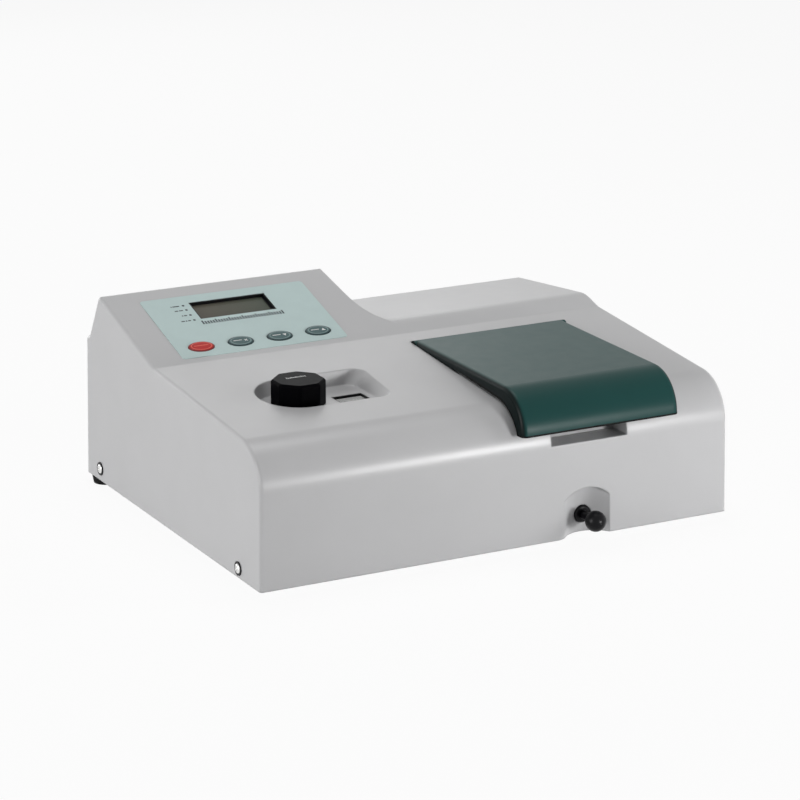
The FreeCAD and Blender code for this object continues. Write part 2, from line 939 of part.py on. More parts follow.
def make_sample_lid():
    shell = lid_form(0).cut([lid_form(lid_wall)])
    nose = rod(hinge_nose, V(lid_left, hinge_y, hinge_z), V(1, 0, 0), lid_right - lid_left)
    below = block(
        lid_left - 1, lid_right + 1, hinge_y - hinge_nose - lid_wall, hinge_y + 1, 0, hinge_z - 2
    )
    shell = shell.cut([below])
    case_side = rounded_wire("yz", side_profile(), lid_left - 5).makeOffset2D(lid_case_gap)
    case_body = Part.Face(case_side).extrude(V(lid_right - lid_left + 10, 0, 0))
    pocket = block(lid_left - 2, lid_right + 2, 0, hinge_y + 10, bed_height + lid_case_gap, lid_top + sky)
    under_lip = block(lid_left - 5, lid_right + 5, -sky, sky, 0, lid_bottom)
    shell = shell.cut([case_body.cut([pocket]), under_lip])
    shell = shell.fuse([nose])
    depth = hinge_pin_length - hinge_pin_anchor - lid_gap + seat_clearance
    bores = [
        rod(hinge_pin_radius + running_clearance, V(x, hinge_y, hinge_z), V(1, 0, 0), depth)
        for x in (lid_left, lid_right - depth)
    ]
    return shell.cut(bores).removeSplitter()


def make_lid_seal():
    low = bed_height
    high = lid_top - lid_wall - seat_clearance
    outer = rectangle(
        opening_left - seal_width, opening_right + seal_width,
        opening_front - seal_width, opening_back + seal_width, seal_width,
    )
    hole = block(opening_left, opening_right, opening_front, opening_back, low - 1, high + 1)
    return prism("xy", outer, low, high).cut([hole])


def make_hinge_pins():
    return Part.makeCompound(hinge_pin_shapes(hinge_pin_radius))


# Pull rod with its knob and bush

def make_pull_rod():
    start = rod_knob_centre
    end = carriage_front + carriage_end + rod_radius
    return rod(rod_radius, V(rod_x, start, rod_z), V(0, 1, 0), end - start)


def make_rod_knob():
    """A ball with a neck, turned about the rod's axis."""
    axis_y = rod_knob_centre
    root = math.sqrt(rod_knob_radius ** 2 - rod_neck_radius ** 2)
    neck_end = rod_bush_seat - rod_bush_flange - seat_clearance
    front = V(0, axis_y - rod_knob_radius, 0)
    side = V(rod_knob_radius, axis_y, 0)
    waist = V(rod_neck_radius, axis_y + root, 0)
    outline = Part.Wire([
        Part.Arc(front, side, waist).toShape(),
        line(waist, V(rod_neck_radius, neck_end, 0)),
        line(V(rod_neck_radius, neck_end, 0), V(0, neck_end, 0)),
        line(V(0, neck_end, 0), front),
    ])
    knob = Part.Face(outline).revolve(V(0, 0, 0), V(0, 1, 0), 360)
    knob.translate(V(rod_x, 0, rod_z))
    return knob.cut([rod(rod_radius, V(rod_x, axis_y, rod_z), V(0, 1, 0), 2 * rod_knob_radius + neck_end)])


def make_rod_bush():
    seat = V(rod_x, rod_bush_seat, rod_z)
    flange = rod(rod_bush_flange_radius, seat - V(0, rod_bush_flange, 0), V(0, 1, 0), rod_bush_flange)
    rim = [edge for edge in flange.Edges if edge.BoundBox.YMax < rod_bush_seat - 1]
    flange = flange.makeFillet(rod_bush_round, rim)
    barrel = rod(rod_bush_radius, seat, V(0, 1, 0), rod_bush_length)
    bore = rod(rod_radius + running_clearance, V(rod_x, 0, rod_z), V(0, 1, 0), 2 * slot_depth)
    return flange.fuse([barrel]).cut([bore]).removeSplitter()


# Sample compartment, its rails and the cell carriage

tub_inside = (
    opening_left + tub_wall, opening_right - tub_wall, opening_front + tub_wall, opening_back - tub_wall,
)


def make_sample_compartment():
    left, right, front, back = tub_inside
    walls = block(left - tub_wall, right + tub_wall, front - tub_wall, back + tub_wall, tub_floor, tub_top)
    flange = block(
        opening_left - tub_flange, opening_right + tub_flange,
        opening_front - tub_flange, opening_back + tub_flange,
        tub_top - tub_flange_thickness, tub_top,
    )
    room = prism("xy", rectangle(left, right, front, back, tub_corner), tub_floor - 1, tub_top + 1)
    beam = rod(beam_radius, V(left - 10, beam_y, beam_z), V(1, 0, 0), right - left + 20)
    passage = rod(rod_radius + 0.8, V(rod_x, 0, rod_z), V(0, 1, 0), beam_y / 2)
    return walls.fuse([flange]).cut([room, beam, passage]).removeSplitter()


def make_compartment_floor():
    """Floor of the sample compartment on four legs, with the two rails of the carriage."""
    left, right, front, back = tub_inside
    plate = block(
        left - tub_wall, right + tub_wall,
        front - tub_wall, back + tub_wall,
        tub_floor - tub_wall, tub_floor,
    )
    legs = [
        upright(tub_leg_radius, x, y, plate_thickness, tub_floor - tub_wall)
        for x in (left + tub_leg_inset, right - tub_leg_inset)
        for y in (front + tub_leg_inset, back - tub_leg_inset)
    ]
    inner = carriage_width / 2 + seat_clearance
    rails = []
    for side in (-1, 1):
        near = rod_x + side * inner
        far = rod_x + side * (inner + rail_width)
        rails.append(block(
            min(near, far), max(near, far),
            front + rail_inset, back - rail_inset,
            tub_floor - 1, tub_floor + rail_height,
        ))
    return plate.fuse(legs + rails).removeSplitter()


def cell_places():
    return [beam_y + i * cell_pitch for i in range(cell_count)]


def make_cell_carriage():
    left = rod_x - carriage_width / 2
    right = rod_x + carriage_width / 2
    body = prism(
        "xy", rectangle(left, right, carriage_front, carriage_front + carriage_length, 2.0),
        carriage_bottom, carriage_top,
    )
    cuts = [rod(rod_radius, V(rod_x, 0, rod_z), V(0, 1, 0), carriage_front + carriage_end + rod_radius)]
    half = cell_size / 2
    for y in cell_places():
        cuts.append(block(rod_x - half, rod_x + half, y - half, y + half, cell_floor, carriage_top + 1))
        low = beam_z - cell_window_height / 2
        high = beam_z + cell_window_height / 2
        side = cell_window_width / 2
        cuts.append(block(left - 1, right + 1, y - side, y + side, low, high))
    return body.cut(cuts)


# Control panel: membrane, keys, display and board, all drawn flat

def make_membrane_panel():
    outline = rectangle(membrane_left, membrane_right, membrane_low, membrane_high, membrane_round)
    sheet_form = prism("xy", outline, 0, membrane_thickness)
    return on_panel(sheet_form.cut(panel_cutouts()))


def make_lcd_bezel():
    base = block(
        lcd_left - lcd_frame, lcd_right + lcd_frame,
        lcd_low - lcd_frame, lcd_high + lcd_frame,
        -board_drop, -wall,
    )
    lining = block(lcd_left, lcd_right, lcd_low, lcd_high, -wall, 0)
    view = block(
        lcd_left + lcd_lining, lcd_right - lcd_lining, lcd_low + lcd_lining, lcd_high - lcd_lining,
        -board_drop - 1, 1,
    )
    return on_panel(base.fuse([lining]).cut([view]).removeSplitter())


def make_lcd_glass():
    return on_panel(block(
        lcd_left + lcd_lining, lcd_right - lcd_lining, lcd_low + lcd_lining, lcd_high - lcd_lining,
        -wall - lcd_glass_thickness, -wall,
    ))


def make_mode_leds():
    lamps = []
    for y in led_rows:
        stem = upright(led_radius, led_x, y, -board_drop, membrane_thickness)
        base = upright(led_radius + led_rim, led_x, y, -board_drop, -board_drop + led_rim_height)
        lamps.append(stem.fuse([base]).removeSplitter())
    return on_panel(Part.makeCompound(lamps))


switch_top = -board_drop + switch_height_over_board


def make_key(x):
    """An oval key: its crowned cap stands out of the membrane, its flange bears on the case."""
    top = membrane_thickness + key_proud
    cap = ellipse_prism(x, key_row, key_length, key_width, -wall, top)
    cap = cap.makeFillet(key_proud * 0.8, [edge for edge in cap.Edges if edge.BoundBox.ZMin > top - 0.01])
    wide = 2 * (key_clearance + key_flange)
    flange = ellipse_prism(x, key_row, key_length + wide, key_width + wide, -wall - key_flange, -wall)
    stem = upright(key_stem_radius, x, key_row, switch_top + key_travel + 0.1, -wall - key_flange)
    return on_panel(cap.fuse([flange, stem]).removeSplitter())


def key_switch_shapes():
    switches = []
    for x in key_x:
        half = switch_size / 2
        body = block(x - half, x + half, key_row - half, key_row + half, -board_drop, switch_top - 1)
        switches += [body, upright(1.7, x, key_row, switch_top - 1, switch_top)]
    return switches


def make_display_board():
    edge = 2.0
    outline = rectangle(
        membrane_left + edge, membrane_right - edge, membrane_low + edge, membrane_high - edge, edge
    )
    board = prism("xy", outline, -board_drop - board_thickness, -board_drop)
    holes = [upright(panel_screw_radius, x, y, -board_drop - 3, 0) for x, y in board_post_places()]
    return on_panel(board.cut(holes).fuse(key_switch_shapes()).removeSplitter())


def board_screws():
    screws = []
    under = -board_drop - board_thickness
    for x, y in board_post_places():
        head = upright(panel_screw_head_radius, x, y, under - panel_screw_head, under)
        screws.append(head.fuse([upright(panel_screw_radius, x, y, under, under + panel_screw_length)]))
    return on_panel(Part.makeCompound(screws))


# Wavelength drive

def involute_gear(teeth, low, high, bore, half_tooth_turn):
    """A spur gear with stub involute teeth, thinned by half the backlash on each flank side."""
    pitch = gear_module * teeth / 2
    tip = pitch + 0.8 * gear_module
    root = pitch - 1.0 * gear_module
    base = pitch * math.cos(math.radians(pressure_angle))

    def flank_turn(radius):
        if radius <= base:
            return 0.0
        spread = math.sqrt((radius / base) ** 2 - 1)
        return spread - math.atan(spread)

    half_thickness = (math.pi * gear_module / 2 - backlash / 2) / 2 / pitch
    at_pitch = flank_turn(pitch)
    radii = (root, max(base, root + 0.2), pitch, tip)
    points = []
    for i in range(teeth):
        middle = 2 * math.pi * (i + half_tooth_turn / 2) / teeth
        for side, order in ((-1, radii), (1, radii[::-1])):
            for radius in order:
                turn = middle + side * (half_thickness + at_pitch - flank_turn(radius))
                points.append(V(radius * math.cos(turn), radius * math.sin(turn), low))
    outline = Part.makePolygon(points + [points[0]])
    gear = Part.Face(outline).extrude(V(0, 0, high - low))
    return gear.cut([upright(bore, 0, 0, low - 1, high + 1)])


def mesh_phase():
    """Turn of the pinion that puts a gap of it opposite the tooth of the dial gear."""
    gear_side = math.radians(gear_angle + 180)
    pitch_turns = gear_side / (2 * math.pi / gear_teeth)
    offset = (pitch_turns - math.floor(pitch_turns)) * 2 * math.pi / gear_teeth
    travel = offset * gear_teeth / pinion_teeth
    pinion_side = math.radians(gear_angle)
    return pinion_side + travel + math.pi / pinion_teeth


def make_dial_gear():
    gear = involute_gear(gear_teeth, gear_top - gear_width, gear_top, shaft_radius, 0)
    holes = []
    for i in range(5):
        turn = 2 * math.pi * i / 5
        reach = gear_radius * 0.62
        holes.append(upright(8.0, reach * math.cos(turn), reach * math.sin(turn), 0, gear_top + 1))
    gear = gear.cut(holes)
    gear.translate(V(dial_x, dial_y, 0))
    return gear


def make_drive_pinion():
    extra = (pinion_width - gear_width) / 2
    pinion = involute_gear(pinion_teeth, gear_top - gear_width - extra, gear_top + extra, shaft_radius, 0)
    pinion.rotate(V(0, 0, 0), V(0, 0, 1), math.degrees(mesh_phase()))
    pinion.translate(V(knob_x, knob_y, 0))
    return pinion


def make_wavelength_dial():
    return ring(dial_radius, shaft_radius, dial_x, dial_y, dial_top - dial_thickness, dial_top)


def make_dial_spindle():
    shaft = upright(shaft_radius, dial_x, dial_y, plate_top - bush_length, dial_top)
    hub = upright(2.6 * shaft_radius, dial_x, dial_y, gear_top, dial_top - dial_thickness)
    spacer = upright(2.0 * shaft_radius, dial_x, dial_y, cam_top, gear_top - gear_width)
    collar_low = plate_top + bush_flange + 0.1
    collar = upright(2.0 * shaft_radius, dial_x, dial_y, collar_low, cam_top - cam_thickness)
    return shaft.fuse([hub, spacer, collar]).removeSplitter()


def roller_place(dial_turn):
    """Where the roller's centre stands, seen from the dial's axis and turning with the dial."""
    swing = grating_ratio * dial_turn
    x = roller_centre - lever_length * math.sin(swing)
    y = -lever_length + lever_length * math.cos(swing)
    back = -dial_turn
    return V(x * math.cos(back) - y * math.sin(back), x * math.sin(back) + y * math.cos(back), 0)


def make_dial_cam():
    """A spiral cam whose edge follows the roller through the whole travel of the dial."""
    limit = math.radians(cam_travel + 6.0)
    steps = 22
    points = []
    for i in range(steps + 1):
        turn = limit - 2 * limit * i / steps
        here = roller_place(turn)
        along = roller_place(turn - 0.001) - roller_place(turn + 0.001)
        outward = V(along.y, -along.x, 0)
        outward.normalize()
        if outward.dot(here) < 0:
            outward = outward * -1
        points.append(here - outward * (roller_radius + roller_gap))
    last = points[-1]
    first = points[0]
    gap_turn = 2 * math.pi - 2 * limit
    start_angle = math.atan2(last.y, last.x)
    for i in (1, 2, 3):
        share = i / 4
        blend = (1 - math.cos(math.pi * share)) / 2
        radius = last.Length + (first.Length - last.Length) * blend
        turn = start_angle + gap_turn * share
        points.append(V(radius * math.cos(turn), radius * math.sin(turn), 0))
    curve = Part.BSplineCurve()
    curve.interpolate(Points=points, PeriodicFlag=True)
    low = cam_top - cam_thickness
    cam = Part.Face(Part.Wire(curve.toShape())).extrude(V(0, 0, cam_thickness))
    cam.translate(V(dial_x, dial_y, low))
    return cam.cut([upright(shaft_radius, dial_x, dial_y, low - 1, cam_top + 1)])


def make_wavelength_knob():
    """A round knob with eight slight flats, chamfered at its top."""
    top = knob_base + knob_height
    drum = upright(knob_radius, knob_x, knob_y, knob_base, top)
    corner = knob_flat / math.cos(math.pi / knob_flats)
    points = []
    for i in range(knob_flats + 1):
        turn = 2 * math.pi * (i + 0.5) / knob_flats
        points.append(V(knob_x + corner * math.cos(turn), knob_y + corner * math.sin(turn), knob_base))
    flats = Part.Face(Part.makePolygon(points)).extrude(V(0, 0, knob_height))
    knob = drum.common(flats)
    knob = knob.makeChamfer(knob_chamfer, [edge for edge in knob.Edges if edge.BoundBox.ZMin > top - 0.01])
    return knob.cut([upright(shaft_radius, knob_x, knob_y, knob_base - 1, knob_base + knob_bore)])


def make_knob_shaft():
    return upright(shaft_radius, knob_x, knob_y, plate_top - bush_length, knob_base + knob_bore)


def make_knob_bush():
    """A flanged bush sunk into the floor of the recess, held by a round nut from below."""
    low = gear_top + pinion_width / 2
    flange = upright(bush_flange_radius, knob_x, knob_y, recess_floor - bush_flange, recess_floor)
    barrel = upright(bush_radius, knob_x, knob_y, low, recess_floor)
    nut = upright(bush_flange_radius, knob_x, knob_y, recess_under - 2.5, recess_under)
    bore = upright(shaft_radius + running_clearance, knob_x, knob_y, 0, knob_base + knob_height)
    return flange.fuse([barrel, nut]).cut([bore]).removeSplitter()


def flanged_bush(x, y, seat, length, barrel_radius, bore_radius):
    """A bush whose flange sits on the seat and whose barrel hangs below it."""
    body = upright(barrel_radius, x, y, seat - length, seat)
    body = body.fuse([upright(barrel_radius + bush_flange, x, y, seat, seat + bush_flange)])
    return body.cut([upright(bore_radius, x, y, seat - length - 1, seat + 5)]).removeSplitter()


def make_shaft_bushes():
    drive_bore = shaft_radius + running_clearance
    grating_bore = grating_shaft_radius + running_clearance
    return Part.makeCompound([
        flanged_bush(knob_x, knob_y, plate_top, bush_length, bush_radius, drive_bore),
        flanged_bush(dial_x, dial_y, plate_top, bush_length, bush_radius, drive_bore),
        flanged_bush(grating_x, grating_y, mono_height + mono_cover_thickness, mono_cover_thickness,
                     grating_shaft_radius + 2.0, grating_bore),
    ])


drive_plate_outline = (84.0, 196.0, 104.0, 172.0)
drive_post_inset = 7.0


def make_drive_plate():
    """A plate on four posts that carries the lower bushes of the knob and the dial."""
    left, right, front, back = drive_plate_outline
    low = plate_top - drive_plate_thickness
    plate = prism("xy", rectangle(left, right, front, back, 6.0), low, plate_top)
    posts = []
    for x in (left + drive_post_inset, right - drive_post_inset):
        for y in (front + drive_post_inset, back - drive_post_inset):
            foot = mono_height + mono_cover_thickness
            posts.append(upright(drive_post_radius, x, y, foot, low))
    plate = plate.fuse(posts)
    shafts = ((knob_x, knob_y), (dial_x, dial_y))
    holes = [upright(bush_radius, x, y, low - 1, plate_top + 1) for x, y in shafts]
    return plate.cut(holes).removeSplitter()


def make_window_lens():
    """A clear plate held under the floor of the recess."""
    margin = window_lens_margin
    return block(
        window_left - margin, window_right + margin, window_front - margin, window_back + margin,
        recess_under - window_lens_thickness, recess_under,
    )


# Grating with its table, lever and roller

def make_grating_table():
    """Lower disc, back plate, upper disc and shaft that carry the grating."""
    low = beam_z - grating_size / 2
    high = beam_z + grating_size / 2
    foot = mono_floor + 2.0
    plate_thick = 4.0
    disc = upright(grating_table_radius, grating_x, grating_y, foot, low)
    top_disc = upright(grating_table_radius, grating_x, grating_y, high, high + 4)
    back = block(
        grating_x + grating_thickness / 2, grating_x + grating_thickness / 2 + plate_thick,
        grating_y - grating_size / 2, grating_y + grating_size / 2, low, high,
    )
    back.rotate(V(grating_x, grating_y, 0), V(0, 0, 1), -12)
    pivot = upright(grating_shaft_radius, grating_x, grating_y, mono_floor - 2, foot)
    shaft = upright(grating_shaft_radius, grating_x, grating_y, high + 4, lever_top - lever_thickness)
    return disc.fuse([top_disc, back, pivot, shaft]).removeSplitter()


def make_grating():
    low = beam_z - grating_size / 2
    plate = block(
        grating_x - grating_thickness / 2, grating_x + grating_thickness / 2,
        grating_y - grating_size / 2, grating_y + grating_size / 2, low, low + grating_size,
    )
    plate.rotate(V(grating_x, grating_y, 0), V(0, 0, 1), -12)
    return plate


def make_follower_lever():
    low = lever_top - lever_thickness
    hub = upright(lever_width * 0.8, grating_x, grating_y, low, lever_top)
    end = upright(lever_width / 2, grating_x, grating_y + lever_length, low, lever_top)
    half = lever_width / 2
    arm = block(grating_x - half, grating_x + half, grating_y, grating_y + lever_length, low, lever_top)
    pin = upright(1.5, grating_x, grating_y + lever_length, lever_top, cam_top)
    return hub.fuse([end, arm, pin]).removeSplitter()


def make_follower_roller():
    return ring(roller_radius, 1.5, grating_x, grating_y + lever_length, cam_top - cam_thickness, cam_top)


# Monochromator

def make_monochromator_housing():
    form = prism("xy", rectangle(mono_left, mono_right, mono_front, mono_back, mono_round),
                 mono_floor - mono_wall + 1, mono_height)
    room = prism(
        "xy",
        rectangle(
            mono_left + mono_wall, mono_right - mono_wall,
            mono_front + mono_wall, mono_back - mono_wall,
            mono_wall,
        ),
        mono_floor, mono_height + 1,
    )
    legs = [
        upright(6.0, x, y, plate_thickness, mono_floor - mono_wall + 1)
        for x in (mono_left + 12, mono_right - 12) for y in (mono_front + 12, mono_back - 12)
    ]
    exit_end = V(mono_right, beam_y, beam_z)
    lamp_end = V(fold_mirror_x, mono_back, beam_z)
    snouts = [
        rod(beam_radius + beam_tube_wall, exit_end, V(1, 0, 0), opening_left - mono_right),
        rod(lens_radius + beam_tube_wall, lamp_end, V(0, 1, 0), lamp_front - mono_back),
    ]
    left = mono_left + mono_wall
    mounts = [
        block(left, left + mirror_mount, mirror_y - 16, mirror_y + 16, mono_floor, beam_z + 18),
        upright(7.0, fold_mirror_x, fold_mirror_y, mono_floor, mono_floor + 3),
        upright(3.0, fold_mirror_x, fold_mirror_y, mono_floor, beam_z - fold_mirror_size / 2),
    ]
    cuts = [
        rod(
            beam_radius, exit_end - V(2 * mono_wall, 0, 0), V(1, 0, 0),
            opening_left - mono_right + 3 * mono_wall,
        ),
        rod(beam_radius, lamp_end - V(0, 2 * mono_wall, 0), V(0, 1, 0), 3 * mono_wall),
        rod(lens_radius, lamp_end, V(0, 1, 0), 3 * mono_wall),
        upright(
            grating_shaft_radius + running_clearance, grating_x, grating_y, mono_floor - 2, mono_floor + 1
        ),
    ]
    return form.cut([room]).fuse(legs + snouts + mounts).cut(cuts).removeSplitter()


def make_monochromator_cover():
    plate = prism("xy", rectangle(mono_left, mono_right, mono_front, mono_back, mono_round),
                  mono_height, mono_height + mono_cover_thickness)
    shaft_room = grating_shaft_radius + 2.0
    return plate.cut([upright(shaft_room, grating_x, grating_y, mono_height - 1, 2 * mono_height)])


def make_collimating_mirror():
    """A round mirror with a shallow hollow face, turned about the beam's direction."""
    face_x = mono_left + mono_wall + mirror_mount + mirror_thickness
    blank = rod(mirror_radius, V(face_x - mirror_thickness, mirror_y, beam_z), V(1, 0, 0), mirror_thickness)
    curve_radius = 160.0
    hollow = Part.makeSphere(curve_radius, V(face_x + curve_radius - 2.0, mirror_y, beam_z))
    return blank.cut([hollow])


def make_fold_mirror():
    half = fold_mirror_size / 2
    mirror = block(-2, 2, -half, half, beam_z - half, beam_z + half)
    mirror.rotate(V(0, 0, 0), V(0, 0, 1), 45)
    mirror.translate(V(fold_mirror_x, fold_mirror_y, 0))
    return mirror


def slit_blade():
    """A small plate with a narrow upright slit, standing across the y direction at x = y = 0."""
    half = slit_plate / 2
    plate = block(-half, half, 0, slit_thickness, beam_z - half, beam_z + half)
    gap = block(
        -slit_width / 2, slit_width / 2,
        -1, slit_thickness + 1,
        beam_z - slit_height / 2, beam_z + slit_height / 2,
    )
    return plate.cut([gap])


def make_slit_blades():
    entrance = slit_blade()
    entrance.translate(V(fold_mirror_x, mono_back - mono_wall - slit_thickness, 0))
    exit_blade = slit_blade()
    exit_blade.rotate(V(0, 0, 0), V(0, 0, 1), 90)
    exit_blade.translate(V(mono_right - mono_wall, beam_y, 0))
    return Part.makeCompound([entrance, exit_blade])


# Lamp house

def make_lamp_house():
    """A folded sheet box with a slotted top, open below and screwed to the base plate."""
    box_form = block(lamp_left, lamp_right, lamp_front, lamp_back, plate_thickness, lamp_top)
    room = block(
        lamp_left + sheet, lamp_right - sheet, lamp_front + sheet, lamp_back - sheet, 0, lamp_top - sheet
    )
    tabs = [
        block(lamp_left - 9, lamp_left, y - 8, y + 8, plate_thickness, plate_thickness + sheet)
        for y in (lamp_front + 18, lamp_back - 18)
    ]
    cuts = [room, rod(lens_radius, V(fold_mirror_x, lamp_front - 1, beam_z), V(0, 1, 0), 5)]
    for row in range(5):
        low = lamp_front + 16 + row * 10
        cuts.append(block(lamp_left + 12, lamp_right - 12, low, low + 4, lamp_top - 2 * sheet, lamp_top + 1))
    return box_form.cut(cuts).fuse(tabs).removeSplitter()


def make_tungsten_lamp():
    base = beam_z - lamp_length / 2
    tip = beam_z + lamp_length / 2
    bulb = upright(lamp_radius, fold_mirror_x, lamp_y, base, tip)
    rim = [edge for edge in bulb.Edges if edge.BoundBox.ZMin > tip - 0.01]
    return bulb.makeFillet(lamp_radius * 0.8, rim)


def make_lamp_holder():
    top = beam_z - lamp_length / 2
    block_form = prism("xy", rectangle(fold_mirror_x - 11, fold_mirror_x + 11, lamp_y - 9, lamp_y + 9, 2.0),
                       top - 12, top)
    post = upright(5.0, fold_mirror_x, lamp_y, plate_thickness, top - 12)
    foot = upright(11.0, fold_mirror_x, lamp_y, plate_thickness, plate_thickness + 2)
    return block_form.fuse([post, foot]).removeSplitter()


def make_condenser_lens():
    """Two round faces on one rim."""
    middle_y = (mono_back + lamp_front) / 2
    rim = 1.6
    bulge = (lens_thickness - rim) / 2
    curve_radius = (lens_radius ** 2 + bulge ** 2) / (2 * bulge)
    reach = curve_radius - lens_thickness / 2
    front = Part.makeSphere(curve_radius, V(fold_mirror_x, middle_y + reach, beam_z))
    back = Part.makeSphere(curve_radius, V(fold_mirror_x, middle_y - reach, beam_z))
    disc_end = V(fold_mirror_x, middle_y - lens_thickness, beam_z)
    disc = rod(lens_radius, disc_end, V(0, 1, 0), 2 * lens_thickness)
    return disc.common(front).common(back)


# Detector

def make_detector_box():
    left = opening_right
    right = left + detector_length
    front = beam_y - detector_width / 2
    back = beam_y + detector_width / 2
    box_form = block(left, right, front, back, detector_low, detector_high)
    room = block(
        left + detector_wall, right - detector_wall, front + detector_wall, back - detector_wall,
        detector_low + detector_wall, detector_high - detector_wall,
    )
    legs = [
        upright(4.0, right - 8, y, plate_thickness, detector_low) for y in (front + 8, back - 8)
    ]
    hole = rod(beam_radius, V(left - 1, beam_y, beam_z), V(1, 0, 0), 2 * detector_wall)
    return box_form.fuse(legs).cut([room, hole]).removeSplitter()


def make_photodiode():
    """The photodiode's can with its brim, soldered to the upright board behind it."""
    right = opening_right + detector_length - detector_wall
    half = detector_width / 2 - detector_wall - 2
    low = detector_low + detector_wall
    high = detector_high - detector_wall
    face = right - board_thickness
    board = block(face, right, beam_y - half, beam_y + half, low, high)
    can_end = V(face - photodiode_thickness, beam_y, beam_z)
    can = rod(photodiode_radius, can_end, V(1, 0, 0), photodiode_thickness)
    brim = rod(photodiode_radius + 1.0, V(face - 1, beam_y, beam_z), V(1, 0, 0), 1.0)
    return board.fuse([can, brim]).removeSplitter()


# Rear panel and what it carries

def make_rear_panel():
    plate = prism("xz", rectangle(panel_left, panel_right, panel_low, panel_high, 2.0),
                  panel_face - panel_thickness, panel_face)
    cuts = [
        block(inlet_x - inlet_body_width / 2, inlet_x + inlet_body_width / 2, 0, case_depth,
              inlet_z - inlet_body_height / 2, inlet_z + inlet_body_height / 2),
        block(switch_x - switch_body_width / 2, switch_x + switch_body_width / 2, 0, case_depth,
              switch_z - switch_body_height / 2, switch_z + switch_body_height / 2),
        rod(fuse_radius, V(fuse_x, 0, fuse_z), V(0, 1, 0), case_depth),
        block(data_x - data_body_width / 2, data_x + data_body_width / 2, 0, case_depth,
              data_z - data_body_height / 2, data_z + data_body_height / 2),
    ]
    for x, z in rear_screw_places():
        cuts.append(rod(panel_screw_radius, V(x, 0, z), V(0, 1, 0), case_depth))
    return plate.cut(cuts)


inlet_body_width = inlet_mouth_width + 3.0
inlet_body_height = inlet_mouth_height + 3.0
switch_body_width = switch_width - 2.0
switch_body_height = switch_height - 2.0
data_body_width = data_shell_width + 1.0
data_body_height = data_shell_height + 1.0
data_shell = 4.5
data_body_depth = 8.0


def make_panel_screws():
    """Eight like screws: four through the rear panel, four through the display board."""
    screws = []
    for x, z in rear_screw_places():
        seat = V(x, case_depth, z)
        head = rod(panel_screw_head_radius, seat, V(0, 1, 0), panel_screw_head)
        screws.append(head.fuse([rod(panel_screw_radius, seat, V(0, -1, 0), panel_screw_length)]))
    return Part.makeCompound(screws + board_screws().Solids)


def make_power_inlet():
    """A flanged appliance inlet: a chamfered socket with three flat pins in it."""
    face = panel_face + inlet_flange
    flange = prism("xz", rectangle(
        inlet_x - inlet_width / 2, inlet_x + inlet_width / 2,
        inlet_z - inlet_height / 2, inlet_z + inlet_height / 2, 3.0), panel_face, face)
    body = block(
        inlet_x - inlet_body_width / 2, inlet_x + inlet_body_width / 2, face - inlet_body_depth, panel_face,
        inlet_z - inlet_body_height / 2, inlet_z + inlet_body_height / 2,
    )
    half = inlet_mouth_width / 2
    low = inlet_z - inlet_mouth_height / 2
    high = inlet_z + inlet_mouth_height / 2
    cut_corner = 4.5
    mouth = [
        (inlet_x - half, low, 1.0), (inlet_x + half, low, 1.0), (inlet_x + half, high - cut_corner, 0),
        (inlet_x + half - cut_corner, high, 0), (inlet_x - half + cut_corner, high, 0),
        (inlet_x - half, high - cut_corner, 0),
    ]
    floor = face - inlet_mouth_depth
    inlet = flange.fuse([body]).cut([prism("xz", mouth, floor, face + 1)])
    pins = []
    for shift, rise in ((-inlet_pin_pitch, -2.0), (0, 2.0), (inlet_pin_pitch, -2.0)):
        x = inlet_x + shift
        z = inlet_z + rise
        pins.append(block(x - 1, x + 1, floor - 1, floor + inlet_pin_length, z - 2, z + 2))
    return inlet.fuse(pins).removeSplitter()


def make_rocker_frame():
    face = panel_face + switch_bezel
    bezel = prism("xz", rectangle(
        switch_x - switch_width / 2, switch_x + switch_width / 2,
        switch_z - switch_height / 2, switch_z + switch_height / 2, 1.5), panel_face, face)
    body = block(
        switch_x - switch_body_width / 2, switch_x + switch_body_width / 2,
        face - switch_body_depth, panel_face,
        switch_z - switch_body_height / 2, switch_z + switch_body_height / 2,
    )
    reach = rocker_reach() + rocker_clearance
    side = rocker_width / 2 + rocker_clearance
    room = block(switch_x - side, switch_x + side, rocker_pivot_y() - reach, face + 1,
                 switch_z - reach, switch_z + reach)
    axis = rod(1.5 + running_clearance, V(switch_x - side - 0.8, rocker_pivot_y(), switch_z), V(1, 0, 0),
               2 * side + 1.6)
    return bezel.fuse([body]).cut([room, axis]).removeSplitter()


def rocker_pivot_y():
    return panel_face - rocker_pivot_depth


def rocker_end_height():
    return rocker_height + rocker_half_length * math.tan(math.radians(rocker_tilt))


def rocker_reach():
    return math.hypot(rocker_half_length, rocker_end_height())


def make_power_rocker():
    """A rocker cap with a shallow V top, round ends and two pivots, tilted to its off side."""
    end = rocker_end_height()
    reach = rocker_reach()
    deep = math.sqrt(reach ** 2 - rocker_depth ** 2)
    upper = V(0, end, rocker_half_length)
    lower = V(0, end, -rocker_half_length)
    valley = V(0, rocker_height, 0)
    outline = Part.Wire([
        line(lower, valley),
        line(valley, upper),
        Part.Arc(upper, V(0, 0, reach), V(0, -rocker_depth, deep)).toShape(),
        line(V(0, -rocker_depth, deep), V(0, -rocker_depth, -deep)),
        Part.Arc(V(0, -rocker_depth, -deep), V(0, 0, -reach), lower).toShape(),
    ])
    cap = Part.Face(outline).extrude(V(rocker_width, 0, 0))
    cap.translate(V(-rocker_width / 2, 0, 0))
    pivot = rod(1.5, V(-rocker_width / 2 - rocker_clearance - 0.6, 0, 0), V(1, 0, 0),
                rocker_width + 2 * rocker_clearance + 1.2)
    cap = cap.fuse([pivot]).removeSplitter()
    cap.rotate(V(0, 0, 0), V(1, 0, 0), -rocker_tilt)
    cap.translate(V(switch_x, rocker_pivot_y(), switch_z))
    return cap


